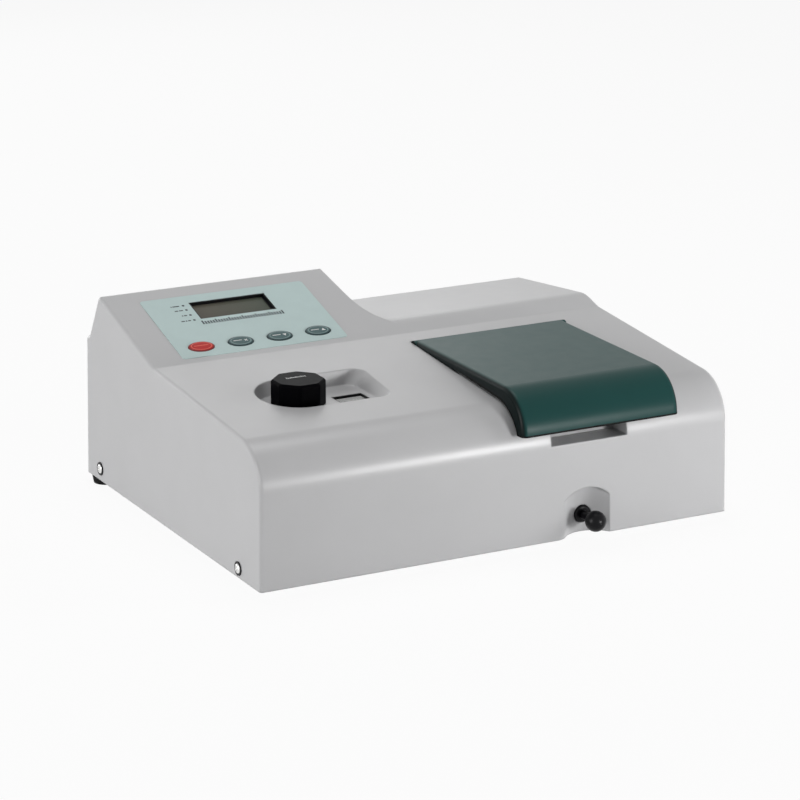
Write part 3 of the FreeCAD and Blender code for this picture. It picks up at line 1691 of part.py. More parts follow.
def make_fuse_holder():
    cap = rod(fuse_cap_radius, V(fuse_x, panel_face, fuse_z), V(0, 1, 0), fuse_cap)
    rim = [edge for edge in cap.Edges if edge.BoundBox.YMin > panel_face + fuse_cap - 0.01]
    cap = cap.makeChamfer(fuse_cap_chamfer, rim)
    body = rod(fuse_radius, V(fuse_x, panel_face, fuse_z), V(0, -1, 0), fuse_length)
    groove = block(fuse_x - 0.75, fuse_x + 0.75, panel_face + fuse_cap - 1.5, panel_face + fuse_cap + 1,
                   fuse_z - 5, fuse_z + 5)
    return cap.fuse([body]).cut([groove]).removeSplitter()


def make_data_socket():
    """A nine-way socket: flange, D-shaped nose, body and two jack posts."""
    flange = prism("xz", rectangle(
        data_x - data_width / 2, data_x + data_width / 2,
        data_z - data_height / 2, data_z + data_height / 2, 1.0), panel_face, panel_face + 1)
    wide = data_shell_width / 2
    narrow = wide - 1.5
    tall = data_shell_height / 2
    nose = [
        (data_x - narrow, data_z - tall, 1.5), (data_x + narrow, data_z - tall, 1.5),
        (data_x + wide, data_z + tall, 1.5), (data_x - wide, data_z + tall, 1.5),
    ]
    shell = prism("xz", nose, panel_face + 1, panel_face + 1 + data_shell)
    body = block(
        data_x - data_body_width / 2, data_x + data_body_width / 2, panel_face - data_body_depth, panel_face,
        data_z - data_body_height / 2, data_z + data_body_height / 2,
    )
    posts = [
        rod(
            jack_radius, V(data_x + side * jack_pitch / 2, panel_face + 1, data_z), V(0, 1, 0),
            data_shell - 0.5,
        )
        for side in (-1, 1)
    ]
    return flange.fuse([shell, body] + posts).removeSplitter()


# Electronics on the base plate

def make_main_board():
    holes = [upright(panel_screw_radius, x, y, 0, 3 * standoff_height) for x, y in standoff_places()]
    low = plate_thickness + standoff_height
    board = block(board_left, board_right, board_front, board_back, low, low + board_thickness)
    return board.cut(holes).fuse(board_components()).removeSplitter()


def standoff_places():
    inset = 6.0
    return [
        (x, y)
        for x in (board_left + inset, board_right - inset)
        for y in (board_front + inset, board_back - inset)
    ]


def board_standoffs():
    """Posts pressed into the base plate, each with a stud through the board."""
    high = plate_thickness + standoff_height
    posts = []
    for x, y in standoff_places():
        posts.append(upright(standoff_radius, x, y, plate_thickness / 2, high))
        posts.append(upright(panel_screw_radius, x, y, high, high + board_thickness + 2))
    return posts


def board_place(across, along):
    """A point of the main board, given as shares of its width and depth."""
    return board_left + across * board_width, board_front + along * (board_back - board_front)


def board_block(across, along, height):
    """A block on the main board between two shares of its width and two of its depth."""
    top = plate_thickness + standoff_height + board_thickness
    x0, y0 = board_place(across[0], along[0])
    x1, y1 = board_place(across[1], along[1])
    return block(x0, x1, y0, y1, top, top + height)


def board_components():
    top = plate_thickness + standoff_height + board_thickness
    return [
        upright(capacitor_radius, *board_place(0.24, 0.22), top, top + capacitor_height),
        upright(capacitor_radius, *board_place(0.47, 0.22), top, top + capacitor_height),
        upright(small_capacitor_radius, *board_place(0.24, 0.39), top, top + small_capacitor_height),
        board_block((0.22, 0.59), (0.49, 0.59), chip_height),
        board_block((0.67, 0.82), (0.44, 0.71), chip_height),
        board_block((0.20, 0.61), (0.77, 0.83), header_height),
    ]


def transformer_windows():
    low = plate_thickness + transformer_yoke
    high = plate_thickness + transformer_height - transformer_yoke
    inner = transformer_width / 6
    outer = transformer_width / 2 - transformer_side_limb
    return low, high, inner, outer


def make_transformer_core():
    half_width = transformer_width / 2
    half_depth = transformer_depth * 0.3
    core = block(
        transformer_x - half_width, transformer_x + half_width,
        transformer_y - half_depth, transformer_y + half_depth,
        plate_thickness, plate_thickness + transformer_height,
    )
    low, high, inner, outer = transformer_windows()
    cuts = [
        block(transformer_x + a, transformer_x + b, 0, case_depth, low, high)
        for a, b in ((-outer, -inner), (inner, outer))
    ]
    return core.cut(cuts)


def make_transformer_winding():
    low, high, inner, outer = transformer_windows()
    half_depth = transformer_depth / 2
    winding = prism(
        "xy", rectangle(transformer_x - outer, transformer_x + outer,
                        transformer_y - half_depth, transformer_y + half_depth, 4.0), low, high
    )
    limb = block(
        transformer_x - inner, transformer_x + inner,
        transformer_y - transformer_depth * 0.3, transformer_y + transformer_depth * 0.3, 0, 2 * high,
    )
    return winding.cut([limb])


def sub_parts():
    """Every node and the shape that it holds, still in the case frame."""
    nodes = {
        "top_case": make_top_case(),
        "base_plate": make_base_plate(),
        "rubber_feet": make_rubber_feet(),
        "foot_screws": make_foot_screws(),
        "side_screws": make_side_screws(),
        "side_screw_washers": make_side_screw_washers(),
        "sample_lid": make_sample_lid(),
        "lid_seal": make_lid_seal(),
        "hinge_pins": make_hinge_pins(),
        "pull_rod": make_pull_rod(),
        "rod_knob": make_rod_knob(),
        "rod_bush": make_rod_bush(),
        "sample_compartment": make_sample_compartment(),
        "compartment_floor": make_compartment_floor(),
        "cell_carriage": make_cell_carriage(),
        "membrane_panel": make_membrane_panel(),
        "lcd_bezel": make_lcd_bezel(),
        "lcd_glass": make_lcd_glass(),
        "mode_leds": make_mode_leds(),
        "display_board": make_display_board(),
        "wavelength_knob": make_wavelength_knob(),
        "knob_shaft": make_knob_shaft(),
        "knob_bush": make_knob_bush(),
        "drive_pinion": make_drive_pinion(),
        "dial_gear": make_dial_gear(),
        "wavelength_dial": make_wavelength_dial(),
        "dial_cam": make_dial_cam(),
        "dial_spindle": make_dial_spindle(),
        "drive_plate": make_drive_plate(),
        "shaft_bushes": make_shaft_bushes(),
        "window_lens": make_window_lens(),
        "grating_table": make_grating_table(),
        "grating": make_grating(),
        "follower_lever": make_follower_lever(),
        "follower_roller": make_follower_roller(),
        "monochromator_housing": make_monochromator_housing(),
        "monochromator_cover": make_monochromator_cover(),
        "collimating_mirror": make_collimating_mirror(),
        "fold_mirror": make_fold_mirror(),
        "slit_blades": make_slit_blades(),
        "lamp_house": make_lamp_house(),
        "tungsten_lamp": make_tungsten_lamp(),
        "lamp_holder": make_lamp_holder(),
        "condenser_lens": make_condenser_lens(),
        "detector_box": make_detector_box(),
        "photodiode": make_photodiode(),
        "rear_panel": make_rear_panel(),
        "panel_screws": make_panel_screws(),
        "power_inlet": make_power_inlet(),
        "rocker_frame": make_rocker_frame(),
        "power_rocker": make_power_rocker(),
        "fuse_holder": make_fuse_holder(),
        "data_socket": make_data_socket(),
        "main_board": make_main_board(),
        "transformer_core": make_transformer_core(),
        "transformer_winding": make_transformer_winding(),
    }
    for number, x in enumerate(key_x, start=1):
        nodes["key_" + str(number)] = make_key(x)
    return nodes


def row_origin():
    """The case-frame point under the middle of the instrument, on the bench."""
    return V(case_width / 2, (front_most + back_most) / 2, -foot_height)


def write_parts(nodes):
    os.makedirs("parts", exist_ok=True)
    shift = row_origin() * -1
    for name, shape in nodes.items():
        placed = shape.copy()
        placed.translate(shift)
        placed.exportStep("parts/" + name + ".step")


if __name__ == "__main__":
    write_parts(sub_parts())
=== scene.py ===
"""Looks of a visible-light bench spectrophotometer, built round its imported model. Lengths are metres."""

import math
from collections import namedtuple

import bmesh
import bpy
from bpy.props import FloatProperty, FloatVectorProperty, IntProperty, PointerProperty
from bpy.types import Operator, Panel, PropertyGroup
from mathutils import Matrix, Vector


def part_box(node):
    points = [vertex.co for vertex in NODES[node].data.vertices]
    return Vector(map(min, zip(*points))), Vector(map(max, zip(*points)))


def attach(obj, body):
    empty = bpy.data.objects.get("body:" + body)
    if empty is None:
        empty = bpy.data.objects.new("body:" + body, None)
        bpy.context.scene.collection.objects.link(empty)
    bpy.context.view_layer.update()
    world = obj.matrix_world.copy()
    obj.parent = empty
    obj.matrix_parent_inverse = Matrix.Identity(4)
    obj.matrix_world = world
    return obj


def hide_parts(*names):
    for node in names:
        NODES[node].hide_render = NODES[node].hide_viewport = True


bl_info = {
    "name": "Bench spectrophotometer",
    "version": (1, 0, 0),
    "blender": (4, 5, 0),
    "location": "View3D > Sidebar > Spectrophotometer",
    "description": "Finishes, printed marks and small pieces of a bench spectrophotometer",
    "category": "Object",
}

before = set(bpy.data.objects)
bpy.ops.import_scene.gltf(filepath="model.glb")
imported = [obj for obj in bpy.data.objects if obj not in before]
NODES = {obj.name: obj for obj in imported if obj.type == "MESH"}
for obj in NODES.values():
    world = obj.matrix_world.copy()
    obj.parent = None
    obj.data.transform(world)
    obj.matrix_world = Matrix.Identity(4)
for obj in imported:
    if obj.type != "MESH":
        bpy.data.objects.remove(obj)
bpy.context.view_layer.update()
MM = 0.001
WHITE = (1.0, 1.0, 1.0)


# Places taken from the frame

def middle(node):
    low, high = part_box(node)
    return (low + high) / 2


PANEL_SLOPE = math.radians(16.8)
FILM_THICKNESS = 0.5 * MM
FILM_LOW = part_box("membrane_panel")[0]
PANEL_PLACE = Matrix.Translation((
    FILM_LOW.x, FILM_LOW.y + FILM_THICKNESS * math.sin(PANEL_SLOPE), FILM_LOW.z
)) @ Matrix.Rotation(PANEL_SLOPE, 4, "X")
KEY_NODES = ("key_1", "key_2", "key_3", "key_4")
KEY_LENGTH = 25.3 * MM
KEY_WIDTH = 15.6 * MM
KEY_TOP = 1.6 * MM
LAMP_LEFT = middle("mode_leds").x - FILM_LOW.x
LAMP_ROWS = (60.4 * MM, 69.5 * MM, 78.5 * MM, 86.3 * MM)
DISPLAY_LOW, DISPLAY_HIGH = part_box("lcd_glass")
KNOB_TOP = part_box("wavelength_knob")[1].z
KNOB_CENTRE = middle("wavelength_knob")
DIAL_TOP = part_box("wavelength_dial")[1].z
DIAL_CENTRE = middle("dial_spindle")
SCREWS_LOW, SCREWS_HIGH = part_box("side_screws")
WASHERS_LOW, WASHERS_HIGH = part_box("side_screw_washers")
PANEL_LOW, PANEL_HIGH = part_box("rear_panel")
WASHER_RADIUS = 6.3 * MM
SIDE_HEAD_RADIUS = 4.3 * MM
SIDE_HEAD_HEIGHT = 2.2 * MM
LENS_LOW, LENS_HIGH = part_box("window_lens")
LENS_MARGIN = 3.0 * MM
RECESS_FLOOR_THICKNESS = 2.5 * MM
LID_LOW, LID_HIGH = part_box("sample_lid")

# How far up the slope the keys stand, from the film's lower edge. Their boxes' middles lie a little higher.
KEY_BOX_SHIFT = 0.25 * MM
KEY_ROW = (PANEL_PLACE.inverted() @ middle("key_1")).y - KEY_BOX_SHIFT


# Finishes. A look's spread is how far its colour varies, its grain the size of its pattern and its relief
# the depth of it, and soften is the radius that the shading gives to edges, all three in millimetres.

Look = namedtuple("Look", "colour rough metallic specular spread grain relief soften style")

LOOKS = {
    "case_plastic": Look((0.515, 0.515, 0.522), 0.32, 0.0, 0.50, 0.012, 1.6, 0.0015, 2.2, "moulded"),
    "lid_plastic": Look((0.012, 0.054, 0.050), 0.33, 0.0, 0.10, 0.02, 1.4, 0.0012, 0.8, "lid"),
    "black_plastic": Look((0.004, 0.004, 0.005), 0.30, 0.0, 0.14, 0.25, 0.9, 0.002, 0.4, "moulded"),
    "knob_plastic": Look((0.0015, 0.0015, 0.002), 0.34, 0.0, 0.010, 0.25, 0.9, 0.002, 0.9, "moulded"),
    "rubber": Look((0.006, 0.006, 0.006), 0.75, 0.0, 0.12, 0.30, 0.6, 0.03, 0.5, "moulded"),
    "foam": Look((0.012, 0.012, 0.012), 0.95, 0.0, 0.10, 0.35, 1.1, 0.15, 0.0, "foam"),
    "zinc_steel": Look((0.62, 0.63, 0.64), 0.28, 1.0, 0.50, 0.10, 2.0, 0.008, 0.15, "brushed"),
    "membrane": Look((0.535, 0.665, 0.655), 0.42, 0.0, 0.25, 0.02, 0.5, 0.004, 0.0, "film"),
    "display": Look((0.122, 0.110, 0.088), 0.22, 0.0, 0.12, 0.03, 0.4, 0.001, 0.0, "display"),
    "key_red": Look((0.50, 0.020, 0.016), 0.30, 0.0, 0.14, 0.04, 0.5, 0.004, 0.0, "moulded"),
    "key_grey": Look((0.062, 0.122, 0.125), 0.30, 0.0, 0.20, 0.05, 0.5, 0.004, 0.0, "moulded"),
    # The keys' sides are painted darker than their crowns: painted shade for the slot round each key.
    "key_red_rim": Look((0.20, 0.010, 0.008), 0.35, 0.0, 0.20, 0.04, 0.5, 0.002, 0.0, "moulded"),
    "key_grey_rim": Look((0.016, 0.040, 0.043), 0.35, 0.0, 0.20, 0.04, 0.5, 0.002, 0.0, "moulded"),
    # Painted highlights on the keys: the first key's light bar and the light ovals round the crowns.
    "print_soft_red": Look((0.80, 0.16, 0.11), 0.50, 0.0, 0.25, 0.04, 0.4, 0.002, 0.0, "moulded"),
    "print_soft_grey": Look((0.24, 0.33, 0.33), 0.50, 0.0, 0.25, 0.04, 0.4, 0.002, 0.0, "moulded"),
    "lamp_epoxy": Look((0.05, 0.012, 0.012), 0.25, 0.0, 0.50, 0.10, 0.5, 0.002, 0.0, "moulded"),
    "circuit_board": Look((0.012, 0.110, 0.045), 0.35, 0.0, 0.50, 0.30, 4.0, 0.02, 0.0, "board"),
    "brass": Look((0.70, 0.50, 0.22), 0.30, 1.0, 0.50, 0.12, 1.5, 0.006, 0.1, "brushed"),
    # The dial face glows: painted light, so that it looks lit behind the window.
    "dial_face": Look((0.58, 0.58, 0.58), 0.50, 0.0, 0.30, 0.04, 0.6, 0.004, 0.0, "lit"),
    "clear": Look((0.90, 0.93, 0.95), 0.04, 0.0, 0.50, 0.01, 3.0, 0.001, 0.0, "clear"),
    "window": Look((0.30, 0.31, 0.31), 0.06, 0.0, 0.50, 0.01, 3.0, 0.001, 0.0, "window"),
    "cast_aluminium": Look((0.52, 0.52, 0.53), 0.48, 1.0, 0.50, 0.15, 1.8, 0.05, 0.6, "cast"),
    "black_anodised": Look((0.014, 0.014, 0.016), 0.45, 0.0, 0.35, 0.25, 0.6, 0.010, 0.25, "moulded"),
    "mirror": Look((0.90, 0.90, 0.92), 0.03, 1.0, 0.50, 0.01, 3.0, 0.0005, 0.0, "brushed"),
    "lamp_glass": Look((0.92, 0.92, 0.90), 0.05, 0.0, 0.50, 0.02, 2.0, 0.001, 0.0, "clear"),
    "ceramic": Look((0.68, 0.64, 0.55), 0.55, 0.0, 0.40, 0.06, 1.2, 0.02, 0.3, "cast"),
    "painted_steel": Look((0.36, 0.365, 0.37), 0.45, 0.0, 0.45, 0.05, 1.0, 0.02, 0.2, "sheet"),
    "copper": Look((0.42, 0.16, 0.07), 0.35, 0.6, 0.50, 0.20, 0.8, 0.12, 0.0, "wound"),
    "core_steel": Look((0.05, 0.05, 0.055), 0.45, 0.4, 0.50, 0.20, 1.0, 0.06, 0.0, "stacked"),
    "print_dark": Look((0.030, 0.042, 0.050), 0.55, 0.0, 0.30, 0.15, 0.4, 0.002, 0.0, "moulded"),
    "print_white": Look((0.78, 0.79, 0.78), 0.55, 0.0, 0.30, 0.05, 0.4, 0.002, 0.0, "moulded"),
    "bright_nickel": Look((0.78, 0.78, 0.77), 0.22, 1.0, 0.50, 0.06, 1.0, 0.003, 0.1, "brushed"),
}

NODE_LOOKS = {
    "case_plastic": ("top_case",),
    "lid_plastic": ("sample_lid",),
    "black_plastic": ("rod_knob", "rod_bush", "side_screw_washers", "power_inlet", "rocker_frame",
                      "fuse_holder", "lcd_bezel"),
    "knob_plastic": ("wavelength_knob", "power_rocker"),
    "rubber": ("rubber_feet",),
    "foam": ("lid_seal",),
    "zinc_steel": ("base_plate", "foot_screws", "side_screws", "hinge_pins", "pull_rod", "knob_shaft",
                   "dial_spindle", "follower_lever", "panel_screws", "data_socket"),
    "membrane": ("membrane_panel",),
    "display": ("lcd_glass",),
    "lamp_epoxy": ("mode_leds",),
    "circuit_board": ("display_board", "main_board", "photodiode"),
    "brass": ("knob_bush", "drive_pinion", "dial_gear", "dial_cam", "shaft_bushes", "follower_roller"),
    "dial_face": ("wavelength_dial",),
    "clear": ("condenser_lens",),
    "window": ("window_lens",),
    "cast_aluminium": ("drive_plate", "monochromator_housing", "monochromator_cover", "detector_box"),
    "black_anodised": ("sample_compartment", "compartment_floor", "cell_carriage", "grating_table",
                       "slit_blades"),
    "mirror": ("grating", "collimating_mirror", "fold_mirror"),
    "lamp_glass": ("tungsten_lamp",),
    "ceramic": ("lamp_holder",),
    "painted_steel": ("rear_panel", "lamp_house"),
    "copper": ("transformer_winding",),
    "core_steel": ("transformer_core",),
    "key_red": ("key_1",),
    "key_grey": ("key_2", "key_3", "key_4"),
}

DISPLAY_FAR_COLOUR = (0.085, 0.100, 0.076)
# Painted light given off by the dial face.
DIAL_PAINTED_LIGHT = (0.34, 0.34, 0.335)
# Painted shade on the lid's flanks: its colour, and the facings where it starts and ends.
LID_FLANK_PAINTED_SHADE = (0.002, 0.006, 0.006)
LID_PAINTED_SHADE_START = 0.15
LID_PAINTED_SHADE_END = 0.75
ROUGHNESS_SPREAD = 0.05
GLASS_IOR = 1.49
WINDOW_ALPHA = 0.25
NOISE_LOW = 0.3
NOISE_HIGH = 0.7
BAND_WIDTHS_EACH = 3.0
BAND_DISTORTION = 0.6


class NodeSheet:
    """The node tree of a material or a world, with short calls to add nodes and join them."""

    def __init__(self, owner):
        owner.use_nodes = True
        self.nodes = owner.node_tree.nodes
        self.links = owner.node_tree.links
        self.nodes.clear()

    def add(self, kind, **settings):
        node = self.nodes.new(kind)
        for key, value in settings.items():
            setattr(node, key, value)
        return node

    def join(self, source, target):
        self.links.new(source, target)

    def coordinates(self, stretch=(1.0, 1.0, 1.0)):
        """Coordinates that are fixed to the object, in millimetres, longer along the stretched axes."""
        place = self.add("ShaderNodeTexCoord")
        mapping = self.add("ShaderNodeMapping")
        mapping.inputs["Scale"].default_value = [1.0 / (MM * s) for s in stretch]
        self.join(place.outputs["Object"], mapping.inputs["Vector"])
        return mapping.outputs["Vector"]

    def noise(self, coordinates, size, detail=3.0, rough=0.5):
        """Noise whose features are about the given size in millimetres."""
        node = self.add("ShaderNodeTexNoise")
        node.inputs["Scale"].default_value = 1.0 / size
        node.inputs["Detail"].default_value = detail
        node.inputs["Roughness"].default_value = rough
        self.join(coordinates, node.inputs["Vector"])
        return node.outputs["Fac"]

    def ranged(self, value, low, high):
        """Spreads a pattern's usual values from low to high."""
        node = self.add("ShaderNodeMapRange")
        node.inputs["From Min"].default_value = NOISE_LOW
        node.inputs["From Max"].default_value = NOISE_HIGH
        node.inputs["To Min"].default_value = low
        node.inputs["To Max"].default_value = high
        self.join(value, node.inputs["Value"])
        return node.outputs["Result"]

    def mixed(self, fac, first, second):
        """A colour between two, each a colour or a socket."""
        node = self.add("ShaderNodeMix", data_type="RGBA")
        self.join(fac, node.inputs[0])
        for value, socket in ((first, node.inputs[6]), (second, node.inputs[7])):
            if isinstance(value, bpy.types.NodeSocket):
                self.join(value, socket)
            else:
                socket.default_value = (*value, 1.0)
        return node.outputs[2]

    def maths(self, operation, first, second):
        node = self.add("ShaderNodeMath", operation=operation)
        for value, socket in ((first, node.inputs[0]), (second, node.inputs[1])):
            if isinstance(value, bpy.types.NodeSocket):
                self.join(value, socket)
            else:
                socket.default_value = value
        return node.outputs[0]

    def blend(self, share, first, second, output):
        """Sends two shaders to the output, blended by the share."""
        mix = self.add("ShaderNodeMixShader")
        self.join(share, mix.inputs[0])
        self.join(first.outputs[0], mix.inputs[1])
        self.join(second.outputs[0], mix.inputs[2])
        self.join(mix.outputs[0], output.inputs["Surface"])

    def bands(self, coordinates, size, direction):
        """Straight bands of the given width in millimetres, across one direction."""
        node = self.add("ShaderNodeTexWave", wave_type="BANDS", bands_direction=direction)
        node.inputs["Scale"].default_value = 1.0 / (BAND_WIDTHS_EACH * size)
        node.inputs["Distortion"].default_value = BAND_DISTORTION
        self.join(coordinates, node.inputs["Vector"])
        return node.outputs["Fac"]

    def cells(self, coordinates, size):
        node = self.add("ShaderNodeTexVoronoi")
        node.inputs["Scale"].default_value = 1.0 / size
        self.join(coordinates, node.inputs["Vector"])
        return node.outputs["Distance"]


def seen_directly(sheet):
    """1 for camera, glossy and transmission rays, otherwise 0."""
    path = sheet.add("ShaderNodeLightPath")
    first = sheet.maths("MAXIMUM", path.outputs["Is Camera Ray"], path.outputs["Is Glossy Ray"])
    return sheet.maths("MAXIMUM", first, path.outputs["Is Transmission Ray"])


def shaded(colour, share):
    return tuple(min(1.0, c * share) for c in colour)


def surface_pattern(sheet, look):
    """The pattern that a style has in its colour and in its height."""
    flat = sheet.coordinates()
    if look.style == "brushed":
        streaks = sheet.noise(sheet.coordinates((14.0, 1.0, 1.0)), look.grain * 0.3, 4.0)
        return streaks, streaks
    if look.style == "foam":
        return sheet.noise(flat, look.grain * 3), sheet.cells(flat, look.grain)
    if look.style == "cast":
        return sheet.noise(flat, look.grain * 6), sheet.noise(flat, look.grain, 6.0, 0.65)
    if look.style == "sheet":
        return sheet.noise(flat, look.grain * 20), sheet.noise(flat, look.grain * 1.2, 1.0)
    if look.style == "wound":
        return sheet.bands(flat, look.grain, "Z"), sheet.bands(flat, look.grain, "Z")
    if look.style == "stacked":
        return sheet.bands(flat, look.grain, "Y"), sheet.bands(flat, look.grain, "Y")
    if look.style == "board":
        return sheet.cells(flat, look.grain), sheet.cells(flat, look.grain)
    return sheet.noise(flat, look.grain * 30, 2.0), sheet.noise(flat, look.grain, 4.0, 0.6)


def make_finish(name):
    """The node material of one finish: its colour varies, its gloss varies and it has relief."""
    look = LOOKS[name]
    material = bpy.data.materials.new(name + "_finish")
    sheet = NodeSheet(material)
    output = sheet.add("ShaderNodeOutputMaterial")
    shader = sheet.add("ShaderNodeBsdfPrincipled")
    tint, height = surface_pattern(sheet, look)
    share = sheet.ranged(tint, 0.0, 1.0)
    base = base_colour(name)
    dark = shaded(base, 1.0 - look.spread)
    light = shaded(base, 1.0 + look.spread)
    colour = sheet.mixed(share, dark, light)
    if look.style == "display":
        colour = sheet.mixed(display_gradient(sheet), colour, DISPLAY_FAR_COLOUR)
    # Painted shade: the lid's flanks are darkened by their facing, standing in for their shadow.
    if look.style == "lid":
        colour = sheet.mixed(lid_flank_painted_shade(sheet), colour, LID_FLANK_PAINTED_SHADE)
    sheet.join(colour, shader.inputs["Base Color"])
    fine = sheet.noise(sheet.coordinates(), look.grain * 9, 3.0)
    least, most = look.rough * (1.0 - ROUGHNESS_SPREAD), look.rough * (1.0 + ROUGHNESS_SPREAD)
    rough = sheet.ranged(fine, least, min(1.0, most))
    sheet.join(rough, shader.inputs["Roughness"])
    shader.inputs["Metallic"].default_value = look.metallic
    shader.inputs["Specular IOR Level"].default_value = look.specular
    if look.style == "clear":
        shader.inputs["Transmission Weight"].default_value = 1.0
        shader.inputs["IOR"].default_value = GLASS_IOR
    if look.style == "window":
        shader.inputs["Alpha"].default_value = WINDOW_ALPHA
    # Painted light: the dial glows so that it looks lit behind the window, though it is no lamp.
    if look.style == "lit":
        shader.inputs["Emission Color"].default_value = (*DIAL_PAINTED_LIGHT, 1.0)
        shader.inputs["Emission Strength"].default_value = 1.0
    bump = sheet.add("ShaderNodeBump")
    bump.inputs["Strength"].default_value = 1.0
    bump.inputs["Distance"].default_value = look.relief * MM
    sheet.join(height, bump.inputs["Height"])
    if look.soften > 0:
        bevel = sheet.add("ShaderNodeBevel", samples=6)
        bevel.inputs["Radius"].default_value = look.soften * MM
        sheet.join(bevel.outputs["Normal"], bump.inputs["Normal"])
    sheet.join(bump.outputs["Normal"], shader.inputs["Normal"])
    sheet.join(shader.outputs["BSDF"], output.inputs["Surface"])
    return material


def base_colour(name):
    """The finish's colour: the user's own where the panel offers one."""
    if name in SpectrophotometerColours.__annotations__:
        return tuple(getattr(colours(), name))
    return LOOKS[name].colour


def lid_flank_painted_shade(sheet):
    """Runs from 0 on the lid's top to 1 on its flanks, where painted shade darkens the colour in place of the
    flanks' shadow.
    """
    surface = sheet.add("ShaderNodeNewGeometry")
    parts = sheet.add("ShaderNodeSeparateXYZ")
    sheet.join(surface.outputs["Normal"], parts.inputs["Vector"])
    node = sheet.add("ShaderNodeMapRange", interpolation_type="SMOOTHSTEP")
    node.inputs["From Min"].default_value = LID_PAINTED_SHADE_START
    node.inputs["From Max"].default_value = LID_PAINTED_SHADE_END
    sheet.join(sheet.maths("ABSOLUTE", parts.outputs["X"], 0.0), node.inputs["Value"])
    return node.outputs["Result"]


def display_gradient(sheet):
    """Runs from 0 at the display's left end to 1 at its right end."""
    place = sheet.add("ShaderNodeTexCoord")
    parts = sheet.add("ShaderNodeSeparateXYZ")
    sheet.join(place.outputs["Object"], parts.inputs["Vector"])
    node = sheet.add("ShaderNodeMapRange")
    node.inputs["From Min"].default_value = DISPLAY_LOW.x
    node.inputs["From Max"].default_value = DISPLAY_HIGH.x
    sheet.join(parts.outputs["X"], node.inputs["Value"])
    return node.outputs["Result"]


FINISHES = {}


def finish(name):
    """The finish's material, made when it is first asked for."""
    if name not in FINISHES:
        FINISHES[name] = make_finish(name)
    return FINISHES[name]


def dress(look_names):
    """Gives the CAD nodes of these looks their finish."""
    for name in look_names:
        for node in NODE_LOOKS[name]:
            piece = NODES[node]
            piece.data.materials.clear()
            piece.data.materials.append(finish(name))


# Making pieces

ROUNDING_STEPS = 2
ROUNDING_LIMIT = math.radians(35.0)


def make_piece(name, mesh, look, body, smooth=None):
    """A finished piece that rides on a body. Edges under the smooth angle, in degrees, are shaded round."""
    data = bpy.data.meshes.new(name)
    bmesh.ops.recalc_face_normals(mesh, faces=mesh.faces)
    mesh.to_mesh(data)
    mesh.free()
    piece = bpy.data.objects.new(name, data)
    bpy.context.scene.collection.objects.link(piece)
    data.materials.append(finish(look))
    if smooth is not None:
        data.shade_smooth()
        data.set_sharp_from_angle(angle=math.radians(smooth))
    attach(piece, body)
    return piece


def soften(piece, width):
    """Rounds the piece's sharper edges with a bevel."""
    bevel = piece.modifiers.new("rounding", "BEVEL")
    bevel.width = width
    bevel.segments = ROUNDING_STEPS
    bevel.limit_method = "ANGLE"
    bevel.angle_limit = ROUNDING_LIMIT


def add_outline(mesh, points, low, high, place):
    """Adds a closed prism: the outline, from its low to its high level, moved by the matrix."""
    bottom = [mesh.verts.new(place @ Vector((x, y, low))) for x, y in points]
    top = [mesh.verts.new(place @ Vector((x, y, high))) for x, y in points]
    count = len(points)
    mesh.faces.new(bottom[::-1])
    mesh.faces.new(top)
    for i in range(count):
        j = (i + 1) % count
        mesh.faces.new((bottom[i], bottom[j], top[j], top[i]))


def box_points(left, right, low, high):
    return [(left, low), (right, low), (right, high), (left, high)]


def cross_points(arm, half):
    """A plus sign round the origin: how far its arms reach, and half their width."""
    return [
        (arm, half), (half, half), (half, arm), (-half, arm), (-half, half), (-arm, half),
        (-arm, -half), (-half, -half), (-half, -arm), (half, -arm), (half, -half), (arm, -half),
    ]


def oval_points(x, y, length, width, count=40):
    turns = [2 * math.pi * i / count for i in range(count)]
    return [(x + math.cos(t) * length / 2, y + math.sin(t) * width / 2) for t in turns]


def add_lathe(mesh, profile, place, count=32):
    """Adds a turned solid: the profile is (radius, height) from its foot to its top, both on the axis."""
    rings = []
    for radius, height in profile:
        if radius == 0.0:
            rings.append([mesh.verts.new(place @ Vector((0, 0, height)))])
            continue
        turns = [2 * math.pi * i / count for i in range(count)]
        points = [(radius * math.cos(t), radius * math.sin(t), height) for t in turns]
        rings.append([mesh.verts.new(place @ Vector(p)) for p in points])
    for lower, upper in zip(rings, rings[1:]):
        for i in range(count):
            j = (i + 1) % count
            if len(lower) == 1:
                mesh.faces.new((lower[0], upper[j], upper[i]))
            elif len(upper) == 1:
                mesh.faces.new((lower[i], lower[j], upper[0]))
            else:
                mesh.faces.new((lower[i], lower[j], upper[j], upper[i]))


def cut_away(piece, cutter):
    """Takes the cutter's form out of the piece and deletes the cutter."""
    step = piece.modifiers.new("cut", "BOOLEAN")
    step.operation = "DIFFERENCE"
    step.solver = "EXACT"
    step.object = cutter
    graph = bpy.context.evaluated_depsgraph_get()
    whole = bpy.data.meshes.new_from_object(piece.evaluated_get(graph))
    piece.modifiers.remove(step)
    old = piece.data
    piece.data = whole
    bpy.data.meshes.remove(old)
    bpy.data.objects.remove(cutter)


# Sizes and colours that a user would change

